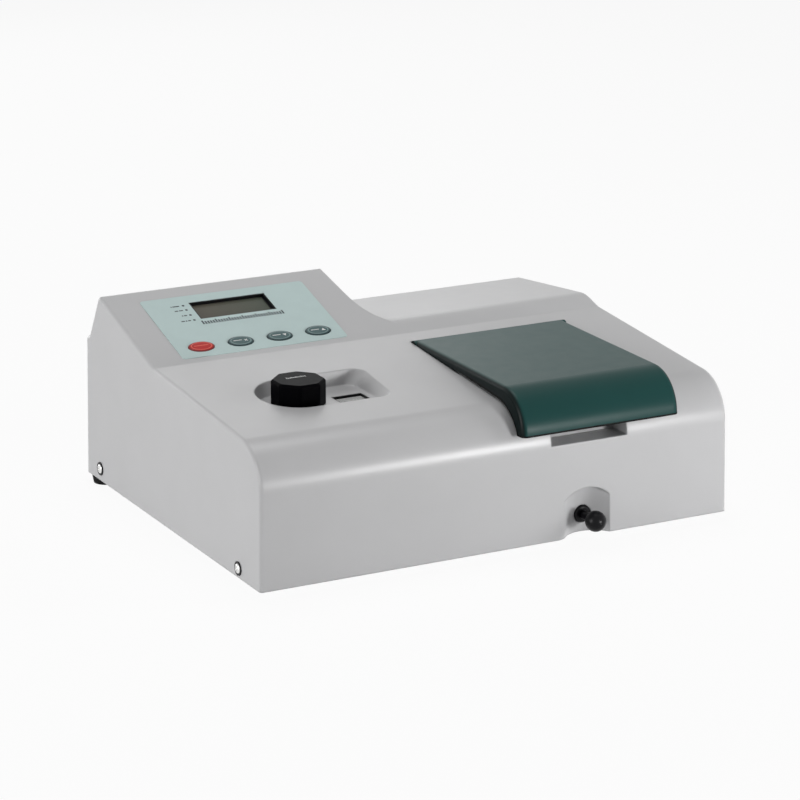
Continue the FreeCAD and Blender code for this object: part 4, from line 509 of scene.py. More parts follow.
class SpectrophotometerSizes(PropertyGroup):
    tick_pitch: FloatProperty(
        name="Tick pitch", description="Distance between the ticks under the display",
        default=2.7 * MM, min=0.5 * MM, max=8.0 * MM, subtype="DISTANCE", unit="LENGTH")
    print_height: FloatProperty(
        name="Print height", description="How far printed marks stand out of what carries them",
        default=0.06 * MM, min=0.01 * MM, max=0.5 * MM, subtype="DISTANCE", unit="LENGTH")
    key_crown: FloatProperty(
        name="Key crown", description="How much higher a key's middle is than its rim",
        default=0.8 * MM, min=0.0, max=1.5 * MM, subtype="DISTANCE", unit="LENGTH")
    screw_recess: FloatProperty(
        name="Screw recess", description="Depth of the cross in each screw head",
        default=1.1 * MM, min=0.2 * MM, max=1.6 * MM, subtype="DISTANCE", unit="LENGTH")
    dial_start: IntProperty(
        name="First dial number", description="Wavelength in nanometres at the dial's first long tick",
        default=350, min=0, max=2000)
    dial_step: IntProperty(
        name="Dial step", description="Wavelength in nanometres between two long ticks",
        default=50, min=1, max=500)
    key_light: FloatProperty(
        name="Key light", description="Power of the large lamp over the instrument, in watts",
        default=17.6, min=0.0, max=500.0, unit="POWER")


class SpectrophotometerColours(PropertyGroup):
    case_plastic: FloatVectorProperty(
        name="Case", description="Colour of the moulded case",
        default=LOOKS["case_plastic"].colour, min=0.0, max=1.0, subtype="COLOR", size=3)
    lid_plastic: FloatVectorProperty(
        name="Lid", description="Colour of the sample lid's top",
        default=LOOKS["lid_plastic"].colour, min=0.0, max=1.0, subtype="COLOR", size=3)
    membrane: FloatVectorProperty(
        name="Panel film", description="Colour of the film round the display and the keys",
        default=LOOKS["membrane"].colour, min=0.0, max=1.0, subtype="COLOR", size=3)
    key_red: FloatVectorProperty(
        name="First key", description="Colour of the first key",
        default=LOOKS["key_red"].colour, min=0.0, max=1.0, subtype="COLOR", size=3)
    key_grey: FloatVectorProperty(
        name="Other keys", description="Colour of the other three keys",
        default=LOOKS["key_grey"].colour, min=0.0, max=1.0, subtype="COLOR", size=3)
    floor: FloatVectorProperty(
        name="Floor", description="Colour of the floor under the instrument",
        default=(0.90, 0.90, 0.90), min=0.0, max=1.0, subtype="COLOR", size=3)


def sizes():
    return bpy.context.scene.spectrophotometer_sizes


def colours():
    return bpy.context.scene.spectrophotometer_colours


class SPECTRO_OT_case(Operator):
    """Finish the moulded case, its base plate, feet and fasteners"""

    bl_idname = "spectro.case"
    bl_label = "Case, base and feet"
    bl_options = {"REGISTER", "UNDO"}

    def execute(self, context):
        dress(("case_plastic", "rubber", "zinc_steel", "black_plastic", "painted_steel"))
        return {"FINISHED"}


# The case's side view near the lid. Y and z of the front rounding's centre, and the y where the black shadow
# strip ends.
FRONT_ROUND = 40.0 * MM
DECK_SLOPE = math.radians(4.4)
CASE_HALF_DEPTH = 178.75 * MM
ROUND_CENTRE = Vector((41.5 * MM - CASE_HALF_DEPTH, 94.0 * MM))
BED_END = 98.0 * MM - CASE_HALF_DEPTH
LIP_CORNER = 5.0 * MM
LIP_BACK = 3.5 * MM - CASE_HALF_DEPTH
# The black strip under the lid's edge is painted shade: its gap above the case, its height, how far it stands
# out and its thickness.
SHADOW_STRIP_GAP = 1.8 * MM
SHADOW_STRIP_HEIGHT = 1.5 * MM
SHADOW_STRIP_PROUD = 0.15 * MM
SHADOW_STRIP_THICKNESS = 1.0 * MM
ROUND_STEPS = 16
CORNER_STEPS = 8

# Turns an outline drawn in y and z, and raised along x, into place
ACROSS = Matrix(((0, 0, 1, 0), (1, 0, 0, 0), (0, 1, 0, 0), (0, 0, 0, 1)))


class SPECTRO_OT_lid(Operator):
    """Finish the sample lid, the black strip along its lower edge that stands in for the shadow there as
    painted shade, and the foam seal under it
    """

    bl_idname = "spectro.lid"
    bl_label = "Sample lid and seal"
    bl_options = {"REGISTER", "UNDO"}

    def execute(self, context):
        dress(("lid_plastic", "foam", "black_anodised"))
        self.trim()
        return {"FINISHED"}

    def trim(self):
        """A thin black strip along the lower edge of the lid's sides and lip: painted shade, standing in for
        the shadow in the gap under the lid.
        """
        mesh = bmesh.new()
        for side in (-1, 1):
            outer = LID_LOW.x - SHADOW_STRIP_PROUD if side < 0 else LID_HIGH.x + SHADOW_STRIP_PROUD
            inner = outer - side * SHADOW_STRIP_THICKNESS
            add_outline(mesh, self.side_band(), min(outer, inner), max(outer, inner), ACROSS)
        band = self.lip_path(SHADOW_STRIP_PROUD) + self.lip_path(SHADOW_STRIP_PROUD - SHADOW_STRIP_THICKNESS)[::-1]
        add_outline(mesh, band, LID_LOW.z, LID_LOW.z + SHADOW_STRIP_HEIGHT, Matrix.Identity(4))
        make_piece("lid_trim", mesh, "rubber", "lid", smooth=40)

    def side_band(self):
        """The shadow strip's outline seen from the side, as (y, z) points along the lid's lower edge."""
        low = math.asin((LID_LOW.z - ROUND_CENTRE.y) / (FRONT_ROUND + SHADOW_STRIP_GAP))
        sweep = math.pi / 2 - low - DECK_SLOPE
        turns = [math.pi - low - sweep * i / ROUND_STEPS for i in range(ROUND_STEPS + 1)]
        bed_length = (BED_END - ROUND_CENTRE.x) / math.cos(DECK_SLOPE)
        paths = []
        for lift in (SHADOW_STRIP_GAP, SHADOW_STRIP_GAP + SHADOW_STRIP_HEIGHT):
            reach = FRONT_ROUND + lift
            path = [(ROUND_CENTRE.x + reach * math.cos(t), ROUND_CENTRE.y + reach * math.sin(t))
                    for t in turns]
            y, z = path[-1]
            path.append((y + bed_length * math.cos(DECK_SLOPE), z + bed_length * math.sin(DECK_SLOPE)))
            paths.append(path)
        return paths[0] + paths[1][::-1]

    def lip_path(self, proud):
        """The shadow strip's path in plan round the lip, from one side to the other."""
        radius = LIP_CORNER + proud
        path = [(LID_LOW.x - proud, LIP_BACK)]
        y = LID_LOW.y + LIP_CORNER
        for x, first in ((LID_LOW.x + LIP_CORNER, math.pi), (LID_HIGH.x - LIP_CORNER, 1.5 * math.pi)):
            for i in range(CORNER_STEPS + 1):
                turn = first + math.pi / 2 * i / CORNER_STEPS
                path.append((x + radius * math.cos(turn), y + radius * math.sin(turn)))
        return path + [(LID_HIGH.x + proud, LIP_BACK)]


class SPECTRO_OT_inside(Operator):
    """Finish the optics, the wavelength drive and the electronics"""

    bl_idname = "spectro.inside"
    bl_label = "Optics, drive and boards"
    bl_options = {"REGISTER", "UNDO"}

    def execute(self, context):
        dress((
            "brass", "cast_aluminium", "mirror", "lamp_glass", "ceramic", "copper", "core_steel",
            "circuit_board", "clear", "window",
        ))
        return {"FINISHED"}


# The plain bars beside each lamp: where each starts and ends along the label, in millimetres
LABEL_BARS = (
    (0.0, 3.4, 4.2, 6.0, 6.8, 9.4), (4.6, 5.8, 6.6, 9.6), (1.2, 4.6, 5.4, 9.4), (0.4, 1.4, 2.2, 9.0),
)
LABEL_LENGTH = 10.0
LABEL_END = 3.0 * MM
LABEL_HALF = 0.75 * MM
LAMP_SPOT = 2.6 * MM
SCALE_LEFT = 43.5 * MM
SCALE_RIGHT = 125.0 * MM
SCALE_HEIGHT = 51.4 * MM
TICK_HALF = 0.8 * MM
TICK_REACH = 4.8 * MM
LONG_TICK_REACH = 6.2 * MM
LONG_TICK_EVERY = 5


class SPECTRO_OT_membrane(Operator):
    """Print the membrane panel: a plain mark beside each mode lamp and a row of ticks under the display"""

    bl_idname = "spectro.membrane"
    bl_label = "Membrane panel and its print"
    bl_options = {"REGISTER", "UNDO"}

    def execute(self, context):
        dress(("membrane", "lamp_epoxy"))
        self.print_labels()
        self.print_scale()
        return {"FINISHED"}

    def print_labels(self):
        mesh = bmesh.new()
        top = FILM_THICKNESS + sizes().print_height
        right = LAMP_LEFT - LABEL_END
        for row, bars in zip(LAMP_ROWS, LABEL_BARS):
            for start, end in zip(bars[::2], bars[1::2]):
                points = box_points(
                    right - (LABEL_LENGTH - start) * MM, right - (LABEL_LENGTH - end) * MM,
                    row - LABEL_HALF, row + LABEL_HALF)
                add_outline(mesh, points, FILM_THICKNESS, top, PANEL_PLACE)
            spot = oval_points(LAMP_LEFT, row, LAMP_SPOT, LAMP_SPOT, 24)
            add_outline(mesh, spot, FILM_THICKNESS, top, PANEL_PLACE)
        make_piece("panel_labels", mesh, "print_dark", "instrument")

    def print_scale(self):
        mesh = bmesh.new()
        values = sizes()
        top = FILM_THICKNESS + values.print_height
        count = int((SCALE_RIGHT - SCALE_LEFT) / values.tick_pitch)
        for i in range(count + 1):
            x = SCALE_LEFT + i * values.tick_pitch
            reach = TICK_REACH if i % LONG_TICK_EVERY else LONG_TICK_REACH
            points = box_points(x - TICK_HALF, x + TICK_HALF, SCALE_HEIGHT, SCALE_HEIGHT + reach)
            add_outline(mesh, points, FILM_THICKNESS, top, PANEL_PLACE)
        make_piece("panel_scale", mesh, "print_dark", "instrument")


DISPLAY_HALF_HEIGHT = 13.7 * MM
DISPLAY_GLASS_TOP = -3.0 * MM
DISPLAY_FRAME_HEIGHT = 0.25 * MM
DISPLAY_FRAME_WIDTHS = ((1, 1.6 * MM), (-1, 1.2 * MM))


class SPECTRO_OT_display(Operator):
    """Finish the display glass and put a dark viewing frame inside its opening"""

    bl_idname = "spectro.display"
    bl_label = "Display"
    bl_options = {"REGISTER", "UNDO"}

    def execute(self, context):
        dress(("display",))
        low = PANEL_PLACE.inverted() @ DISPLAY_LOW
        high = PANEL_PLACE.inverted() @ DISPLAY_HIGH
        centre = (low + high) / 2
        half_width = (DISPLAY_HIGH.x - DISPLAY_LOW.x) / 2
        top = DISPLAY_GLASS_TOP + DISPLAY_FRAME_HEIGHT
        mesh = bmesh.new()
        for side, border in DISPLAY_FRAME_WIDTHS:
            edge = centre.x + side * half_width
            inner = edge - side * border
            points = box_points(
                min(edge, inner), max(edge, inner),
                centre.y - DISPLAY_HALF_HEIGHT, centre.y + DISPLAY_HALF_HEIGHT)
            add_outline(mesh, points, DISPLAY_GLASS_TOP, top, PANEL_PLACE)
        make_piece("display_frame", mesh, "black_plastic", "instrument")
        return {"FINISHED"}


# A key's rings from its foot to the middle of its crown: share of the key's size, and how far up
KEY_RINGS = (
    (1.0, 0.0), (1.0, 0.45), (0.985, 0.62), (0.955, 0.74),
    (0.89, 0.82), (0.72, 0.92), (0.45, 0.98), (0.0, 1.0),
)
# How many of the lowest rings take the darker rim finish, which is painted shade.
KEY_SHADED_RIM_RINGS = 4
KEY_RIM_RISE = 0.45
KEY_SIDES = 48
KEY_FOOT = -2.5 * MM
MARK_DEPTH = 0.25 * MM
MARK_BAR_HALF = 0.45 * MM
MARK_BAR_RISE = 0.6 * MM
MARK_REACH = 7.0 * MM
MARK_BAR_END = 1.0 * MM
SIGN_SHIFT = Vector((5.0 * MM, -0.3 * MM))
SIGN_REACH = 1.9 * MM
SIGN_HALF = 0.4 * MM
SIGN_FOOT = 0.8
SIGN_TURNS = (45.0, -45.0)
# The painted highlight round each key's crown: its outer and inner share of the key's size, how far below the
# top it sits and how far it rises.
CROWN_HIGHLIGHT = (0.80, 0.74)
CROWN_HIGHLIGHT_DROP = 0.10
CROWN_HIGHLIGHT_RISE = 0.02 * MM


class SPECTRO_OT_keys(Operator):
    """Replace the four plain keys with crowned ovals, print their marks, and give them painted highlights and
    painted shade
    """

    bl_idname = "spectro.keys"
    bl_label = "Keys and their marks"
    bl_options = {"REGISTER", "UNDO"}

    def execute(self, context):
        for number, node in enumerate(KEY_NODES, start=1):
            x = middle(node).x - FILM_LOW.x
            slot_name = "key_red" if number == 1 else "key_grey"
            self.build_cap(node, x, slot_name)
            self.print_marks(node, number, x)
        return {"FINISHED"}

    def build_cap(self, node, x, slot_name):
        mesh = bmesh.new()
        crown = sizes().key_crown
        rings = []
        for share, rise in KEY_RINGS:
            level = KEY_FOOT
            if rise > 0.0:
                level = KEY_TOP - crown + crown * (rise - KEY_RIM_RISE) / (1.0 - KEY_RIM_RISE)
            if share == 0.0:
                rings.append([mesh.verts.new(PANEL_PLACE @ Vector((x, KEY_ROW, level)))])
                continue
            points = oval_points(x, KEY_ROW, KEY_LENGTH * share, KEY_WIDTH * share, KEY_SIDES)
            rings.append([mesh.verts.new(PANEL_PLACE @ Vector((a, b, level))) for a, b in points])
        mesh.faces.new(rings[0][::-1])
        for step, (lower, upper) in enumerate(zip(rings, rings[1:])):
            for i in range(KEY_SIDES):
                j = (i + 1) % KEY_SIDES
                corners = (upper[0],) if len(upper) == 1 else (upper[j], upper[i])
                face = mesh.faces.new((lower[i], lower[j], *corners))
                # The lower rings take the darker rim finish: painted shade on the key's sides.
                face.material_index = 1 if step < KEY_SHADED_RIM_RINGS else 0
        piece = make_piece(node + "_cap", mesh, slot_name, node, smooth=50)
        piece.data.materials.append(finish(slot_name + "_rim"))
        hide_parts(node)

    def print_marks(self, node, number, x):
        """A bar on each key, and a cross, a down mark and an up mark on the last three. The first key's bar,
        across its middle, is a painted highlight; the rest is print.
        """
        mesh = bmesh.new()
        low = KEY_TOP - MARK_DEPTH
        top = KEY_TOP + sizes().print_height
        row = KEY_ROW + MARK_BAR_RISE
        right = x + (MARK_BAR_END if number > 1 else MARK_REACH)
        bar = box_points(x - MARK_REACH, right, row - MARK_BAR_HALF, row + MARK_BAR_HALF)
        add_outline(mesh, bar, low, top, PANEL_PLACE)
        spot = PANEL_PLACE @ Matrix.Translation((x + SIGN_SHIFT.x, KEY_ROW + SIGN_SHIFT.y, 0))
        if number == 2:
            for turn in SIGN_TURNS:
                place = spot @ Matrix.Rotation(math.radians(turn), 4, "Z")
                add_outline(mesh, box_points(-SIGN_REACH, SIGN_REACH, -SIGN_HALF, SIGN_HALF), low, top, place)
        if number > 2:
            way = -1 if number == 3 else 1
            foot = -way * SIGN_REACH * SIGN_FOOT
            points = [(-SIGN_REACH, foot), (SIGN_REACH, foot), (0.0, way * SIGN_REACH)]
            add_outline(mesh, points if way > 0 else points[::-1], low, top, spot)
        # The first key's bar is a painted highlight; the other keys' marks are print.
        look = "print_soft_red" if number == 1 else "print_white"
        make_piece(node + "_marks", mesh, look, node)
        self.print_ring(node, number, x)

    def print_ring(self, node, number, x):
        """A thin lighter oval round the key's crown: a painted highlight on the crown's shoulder."""
        mesh = bmesh.new()
        outer, inner = CROWN_HIGHLIGHT
        level = KEY_TOP - CROWN_HIGHLIGHT_DROP * sizes().key_crown
        section = ((outer, -MARK_DEPTH), (outer, 0.0), (inner, CROWN_HIGHLIGHT_RISE), (inner, -MARK_DEPTH))
        rings = []
        for share, lift in section:
            points = oval_points(x, KEY_ROW, KEY_LENGTH * share, KEY_WIDTH * share, KEY_SIDES)
            rings.append([mesh.verts.new(PANEL_PLACE @ Vector((a, b, level + lift))) for a, b in points])
        for lower, upper in zip(rings, rings[1:] + rings[:1]):
            for i in range(KEY_SIDES):
                j = (i + 1) % KEY_SIDES
                mesh.faces.new((lower[i], lower[j], upper[j], upper[i]))
        look = "print_soft_red" if number == 1 else "print_soft_grey"
        make_piece(node + "_ring", mesh, look, node)


KNOB_TICKS = 12
KNOB_TICK_PITCH = 1.6 * MM
KNOB_TICK_HALF = 0.42 * MM
KNOB_TICK_FOOT = 3.4 * MM
KNOB_TICK_DEPTH = 0.1 * MM
KNOB_TICK_REACH = 2.6 * MM
KNOB_LONG_REACH = 3.4 * MM
KNOB_LONG_EVERY = 3


class SPECTRO_OT_knob(Operator):
    """Finish the wavelength knob and print the ticks on its top"""

    bl_idname = "spectro.knob"
    bl_label = "Wavelength knob"
    bl_options = {"REGISTER", "UNDO"}

    def execute(self, context):
        dress(("knob_plastic",))
        mesh = bmesh.new()
        low = KNOB_TOP - KNOB_TICK_DEPTH
        top = KNOB_TOP + sizes().print_height
        place = Matrix.Translation((KNOB_CENTRE.x, KNOB_CENTRE.y, 0))
        for i in range(KNOB_TICKS):
            x = (i - (KNOB_TICKS - 1) / 2) * KNOB_TICK_PITCH
            reach = KNOB_TICK_REACH if i % KNOB_LONG_EVERY else KNOB_LONG_REACH
            tick = box_points(
                x - KNOB_TICK_HALF, x + KNOB_TICK_HALF, KNOB_TICK_FOOT, KNOB_TICK_FOOT + reach)
            add_outline(mesh, tick, low, top, place)
        make_piece("knob_ticks", mesh, "print_white", "knob")
        return {"FINISHED"}


DIAL_LONG_TICKS = 15
DIAL_LONG_TURN = 20.0
DIAL_TICKS_EACH = 10
DIAL_SCALE_RADIUS = 38.5 * MM

# A dial tick's inner radius and half its width
DIAL_TICK = (35.5 * MM, 0.16 * MM)
DIAL_LONG_TICK = (33.5 * MM, 0.3 * MM)
DIAL_NUMBER_RADIUS = 29.5 * MM
DIAL_NUMBER_SIZE = 5.0 * MM
# The black liner in the dial's window is painted shade.
SHADE_LINER_THICKNESS = 0.9 * MM
SHADE_LINER_CLEARANCE = 0.02 * MM
SHADE_LINER_INSET = 0.15 * MM


class SPECTRO_OT_dial(Operator):
    """Finish the dial behind the window, which glows as painted light, put its ticks and numbers on it and
    line the window's walls black as painted shade
    """

    bl_idname = "spectro.dial"
    bl_label = "Wavelength dial"
    bl_options = {"REGISTER", "UNDO"}

    def execute(self, context):
        dress(("dial_face",))
        place = Matrix.Translation((DIAL_CENTRE.x, DIAL_CENTRE.y, 0))
        mesh = bmesh.new()
        values = sizes()
        each_way = DIAL_LONG_TICKS // 2
        short_each_way = each_way * DIAL_TICKS_EACH
        for i in range(-short_each_way, short_each_way + 1):
            turn = math.radians(i * DIAL_LONG_TURN / DIAL_TICKS_EACH - 90.0)
            inner, half = DIAL_TICK if i % DIAL_TICKS_EACH else DIAL_LONG_TICK
            points = box_points(inner, DIAL_SCALE_RADIUS, -half, half)
            spin = place @ Matrix.Rotation(turn, 4, "Z")
            add_outline(mesh, points, DIAL_TOP, DIAL_TOP + values.print_height, spin)
        for i in range(-each_way, each_way + 1):
            turn = math.radians(i * DIAL_LONG_TURN - 90.0)
            number = str(values.dial_start + (i + each_way) * values.dial_step)
            spot = Matrix.Translation((DIAL_NUMBER_RADIUS, 0, DIAL_TOP))
            spin = place @ Matrix.Rotation(turn, 4, "Z") @ spot
            self.add_number(mesh, number, spin @ Matrix.Rotation(math.radians(90.0), 4, "Z"))
        make_piece("dial_scale", mesh, "print_dark", "dial")
        # Painted shade: the window's walls are lined black in place of their shadow.
        self.window_liner()
        return {"FINISHED"}

    def window_liner(self):
        """A thin black liner on the four walls of the dial's window: painted shade, standing in for the
        shadow on those walls.
        """
        left = LENS_LOW.x + LENS_MARGIN
        right = LENS_HIGH.x - LENS_MARGIN
        front = LENS_LOW.y + LENS_MARGIN
        back = LENS_HIGH.y - LENS_MARGIN
        low = LENS_HIGH.z + SHADE_LINER_CLEARANCE
        high = LENS_HIGH.z + RECESS_FLOOR_THICKNESS - SHADE_LINER_INSET
        thick = SHADE_LINER_THICKNESS
        proud = SHADE_LINER_CLEARANCE
        mesh = bmesh.new()
        for points in (
            box_points(left + proud, left + thick, front + proud, back - proud),
            box_points(right - thick, right - proud, front + proud, back - proud),
            box_points(left + thick, right - thick, front + proud, front + thick),
            box_points(left + thick, right - thick, back - thick, back - proud),
        ):
            add_outline(mesh, points, low, high, Matrix.Identity(4))
        make_piece("window_liner", mesh, "black_plastic", "instrument")

    def add_number(self, mesh, words, place):
        """Adds a number drawn in the plain built-in letters, as a thin solid."""
        curve = bpy.data.curves.new("number", "FONT")
        curve.body = words
        curve.size = DIAL_NUMBER_SIZE
        curve.extrude = sizes().print_height
        curve.align_x = "CENTER"
        curve.align_y = "CENTER"
        curve.resolution_u = 2
        holder = bpy.data.objects.new("number", curve)
        bpy.context.scene.collection.objects.link(holder)
        graph = bpy.context.evaluated_depsgraph_get()
        data = bpy.data.meshes.new_from_object(holder.evaluated_get(graph))
        data.transform(place)
        mesh.from_mesh(data)
        bpy.data.meshes.remove(data)
        bpy.data.objects.remove(holder)
        bpy.data.curves.remove(curve)


# Turns a form that stands up so that it points to the back
TO_THE_BACK = Matrix.Rotation(math.radians(-90.0), 4, "X")

SIDE_SCREW_TURN = math.radians(25.0)
REAR_SCREW_TURN = math.radians(17.0)
REAR_SCREW_INSET = 4.5 * MM
REAR_SCREW_FACE = 3.0 * MM
REAR_HEAD_RADIUS = 2.8 * MM
REAR_HEAD_HEIGHT = 1.8 * MM

# Shares of a head's height and radius
HEAD_EDGE = 0.25
SHANK_RADIUS = 0.6
SHANK_LENGTH = 0.5
CROSS_ARM = 0.62
CROSS_HALF = 0.13
HEAD_STEPS = 7


class SPECTRO_OT_screws(Operator):
    """Replace the plain screw heads at the sides and the rear with domed ones that have a cross"""

    bl_idname = "spectro.screws"
    bl_label = "Screw heads"
    bl_options = {"REGISTER", "UNDO"}

    def execute(self, context):
        self.side_screws()
        self.rear_screws()
        return {"FINISHED"}

    def head(self, name, place, radius, height, node):
        """A domed head on a short shank, with a cross cut into it."""
        mesh = bmesh.new()
        shank = radius * SHANK_RADIUS
        foot = -SHANK_LENGTH * height
        profile = [(0.0, foot), (shank, foot), (shank, 0.0), (radius, 0.0), (radius, height * HEAD_EDGE)]
        for i in range(1, HEAD_STEPS):
            turn = math.pi / 2 * i / HEAD_STEPS
            rise = HEAD_EDGE + (1.0 - HEAD_EDGE) * math.sin(turn)
            profile.append((radius * math.cos(turn), height * rise))
        profile.append((0.0, height))
        add_lathe(mesh, profile, place, 36)
        piece = make_piece(name, mesh, "bright_nickel", "instrument", smooth=40)
        cutter_mesh = bmesh.new()
        cross = cross_points(radius * CROSS_ARM, radius * CROSS_HALF)
        add_outline(cutter_mesh, cross, height - sizes().screw_recess, height * 2, place)
        bmesh.ops.recalc_face_normals(cutter_mesh, faces=cutter_mesh.faces)
        cutter = bpy.data.meshes.new("cross")
        cutter_mesh.to_mesh(cutter)
        cutter_mesh.free()
        holder = bpy.data.objects.new("cross", cutter)
        bpy.context.scene.collection.objects.link(holder)
        cut_away(piece, holder)
        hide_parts(node)

    def side_screws(self):
        ends = (
            ("front", WASHERS_LOW.y + WASHER_RADIUS, WASHERS_LOW.z + WASHER_RADIUS),
            ("back", WASHERS_HIGH.y - WASHER_RADIUS, WASHERS_HIGH.z - WASHER_RADIUS),
        )
        for side, x in ((-1, SCREWS_LOW.x + SIDE_HEAD_HEIGHT), (1, SCREWS_HIGH.x - SIDE_HEAD_HEIGHT)):
            for end, y, z in ends:
                place = Matrix.Translation((x, y, z)) @ Matrix.Rotation(math.radians(90.0 * side), 4, "Y")
                turn = Matrix.Rotation(SIDE_SCREW_TURN, 4, "Z")
                name = "side_screw_" + ("left_" if side < 0 else "right_") + end
                self.head(name, place @ turn, SIDE_HEAD_RADIUS, SIDE_HEAD_HEIGHT, "side_screws")

    def rear_screws(self):
        face = PANEL_HIGH.y + REAR_SCREW_FACE
        number = 0
        for x in (PANEL_LOW.x + REAR_SCREW_INSET, PANEL_HIGH.x - REAR_SCREW_INSET):
            for z in (PANEL_LOW.z + REAR_SCREW_INSET, PANEL_HIGH.z - REAR_SCREW_INSET):
                number += 1
                place = Matrix.Translation((x, face, z)) @ TO_THE_BACK
                turn = Matrix.Rotation(REAR_SCREW_TURN * number, 4, "Z")
                name = "rear_screw_%d" % number
                self.head(name, place @ turn, REAR_HEAD_RADIUS, REAR_HEAD_HEIGHT, "panel_screws")


# The inlet's three blades, as x and z from its middle, and half their width and height, in millimetres
BLADE_SPOTS = ((-7.0, -2.0), (0.0, 2.0), (7.0, -2.0))
BLADE_HALF = (1.0, 2.0)
BLADE_SHEATH = 0.06 * MM
BLADE_FOOT = 16.4 * MM
BLADE_TIP = 4.45 * MM
BLADE_ROUNDING = 0.35 * MM
SOCKET_WIDE = 8.3 * MM
SOCKET_NARROW = 7.0 * MM
SOCKET_TALL = 3.5 * MM
SOCKET_LEVELS = (-0.4 * MM, 0.15 * MM)
SOCKET_ROUNDING = 0.1 * MM
CONTACT_PITCH = 2.76 * MM
CONTACT_ROW = 1.42 * MM
CONTACT_PROFILE = ((0.0, -0.2), (0.75, -0.2), (0.75, 0.25), (0.5, 0.25), (0.5, 0.05), (0.0, 0.05))

# The rocker rests tilted by the slope of one half of its face
ROCKER_SLOPE = math.radians(11.0)
ROCKER_PIVOT_DEPTH = 6.0 * MM
ROCKER_FACE_HEIGHT = 6.5 * MM
ROCKER_MARK_SHIFT = 4.4 * MM
ROCKER_BAR_HALF = 0.35 * MM
ROCKER_BAR_REACH = 1.8 * MM
ROCKER_BAR_LEVELS = (-0.1 * MM, 0.08 * MM)
ROCKER_RING_PROFILE = ((1.1, -0.1), (1.7, -0.1), (1.7, 0.08), (1.1, 0.08), (1.1, -0.1))


def in_millimetres(pairs):
    return [(a * MM, b * MM) for a, b in pairs]


class SPECTRO_OT_rear(Operator):
    """Add the metal blades, the socket face and the switch marks at the rear"""

    bl_idname = "spectro.rear"
    bl_label = "Rear connectors"
    bl_options = {"REGISTER", "UNDO"}

    def execute(self, context):
        self.inlet_blades()
        self.socket_face()
        self.rocker_marks()
        return {"FINISHED"}

    def inlet_blades(self):
        low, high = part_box("power_inlet")
        centre = (low + high) / 2
        mesh = bmesh.new()
        wide, tall = (half * MM + BLADE_SHEATH for half in BLADE_HALF)
        for shift, rise in in_millimetres(BLADE_SPOTS):
            place = Matrix.Translation((centre.x + shift, 0, centre.z + rise))
            points = box_points(-wide, wide, high.y - BLADE_FOOT, high.y - BLADE_TIP)
            add_outline(mesh, points, -tall, tall, place)
        piece = make_piece("inlet_blades", mesh, "bright_nickel", "instrument")
        soften(piece, BLADE_ROUNDING)

    def socket_face(self):
        low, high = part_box("data_socket")
        centre = (low + high) / 2
        face = Matrix.Translation((centre.x, high.y, centre.z)) @ TO_THE_BACK
        mesh = bmesh.new()
        points = [(-SOCKET_WIDE, -SOCKET_TALL), (SOCKET_WIDE, -SOCKET_TALL),
                  (SOCKET_NARROW, SOCKET_TALL), (-SOCKET_NARROW, SOCKET_TALL)]
        add_outline(mesh, points, *SOCKET_LEVELS, face)
        piece = make_piece("socket_face", mesh, "black_plastic", "instrument")
        soften(piece, SOCKET_ROUNDING)
        pins = bmesh.new()
        for row, count in ((-1, 5), (1, 4)):
            for i in range(count):
                x = (i - (count - 1) / 2) * CONTACT_PITCH
                spot = face @ Matrix.Translation((x, row * CONTACT_ROW, 0))
                add_lathe(pins, in_millimetres(CONTACT_PROFILE), spot, 20)
        make_piece("socket_contacts", pins, "brass", "instrument", smooth=30)

    def rocker_marks(self):
        low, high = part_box("rocker_frame")
        pivot = Vector(((low.x + high.x) / 2, high.y - ROCKER_PIVOT_DEPTH, (low.z + high.z) / 2))
        tilt = Matrix.Translation(pivot) @ Matrix.Rotation(-ROCKER_SLOPE, 4, "X")
        face = tilt @ Matrix.Translation((0, ROCKER_FACE_HEIGHT, 0)) @ TO_THE_BACK
        mesh = bmesh.new()
        for side in (1, -1):
            shift = Matrix.Translation((0, -side * ROCKER_MARK_SHIFT, 0))
            place = face @ Matrix.Rotation(side * ROCKER_SLOPE, 4, "X") @ shift
            if side > 0:
                bar = box_points(-ROCKER_BAR_HALF, ROCKER_BAR_HALF, -ROCKER_BAR_REACH, ROCKER_BAR_REACH)
                add_outline(mesh, bar, *ROCKER_BAR_LEVELS, place)
            else:
                add_lathe(mesh, in_millimetres(ROCKER_RING_PROFILE), place, 28)
        make_piece("rocker_marks", mesh, "print_white", "rocker")


# Camera, lights and floor

CAMERA_PLACE = (-1.3656, -2.5405, 0.9738)
CAMERA_TARGET = (-0.0216, -0.02875, 0.1089)
CAMERA_ROLL = 0.24
CAMERA_LENS = 148.0
CAMERA_FAR = 50.0
FLOOR_REACH = 6.0
FLOOR_THICKNESS = 0.02
FLOOR_GLOW_SHARE = 0.93
ROOM_LIGHT = 0.02

# A lamp's width, its share of the key light and whether gloss shows it
Lamp = namedtuple("Lamp", "place target size share gloss")

LAMP_AIM = (0.0, 0.0, 0.1)
LAMPS = {
    "lamp_over": Lamp((0.1, 0.4, 2.1), LAMP_AIM, 1.4, 1.0, True),
    "lamp_back": Lamp((0.6, 2.2, 0.95), LAMP_AIM, 1.4, 0.24, True),
    "lamp_rear": Lamp((-0.8, 2.4, 0.35), LAMP_AIM, 1.0, 0.7, True),
    "lamp_left": Lamp((-2.1, -0.35, 0.5), LAMP_AIM, 1.2, 1.37, True),
    "lamp_right": Lamp((1.7, -0.8, 0.5), LAMP_AIM, 0.8, 0.80, False),
    "lamp_front": Lamp((0.64, -1.38, 0.15), (0.05, -0.15, 0.1), 0.28, 0.50, True),
}


def aimed(place, target):
    """The matrix of a camera or a lamp that stands at a place and looks at a target."""
    look = Vector(target) - Vector(place)
    return Matrix.Translation(place) @ look.to_track_quat("-Z", "Y").to_matrix().to_4x4()


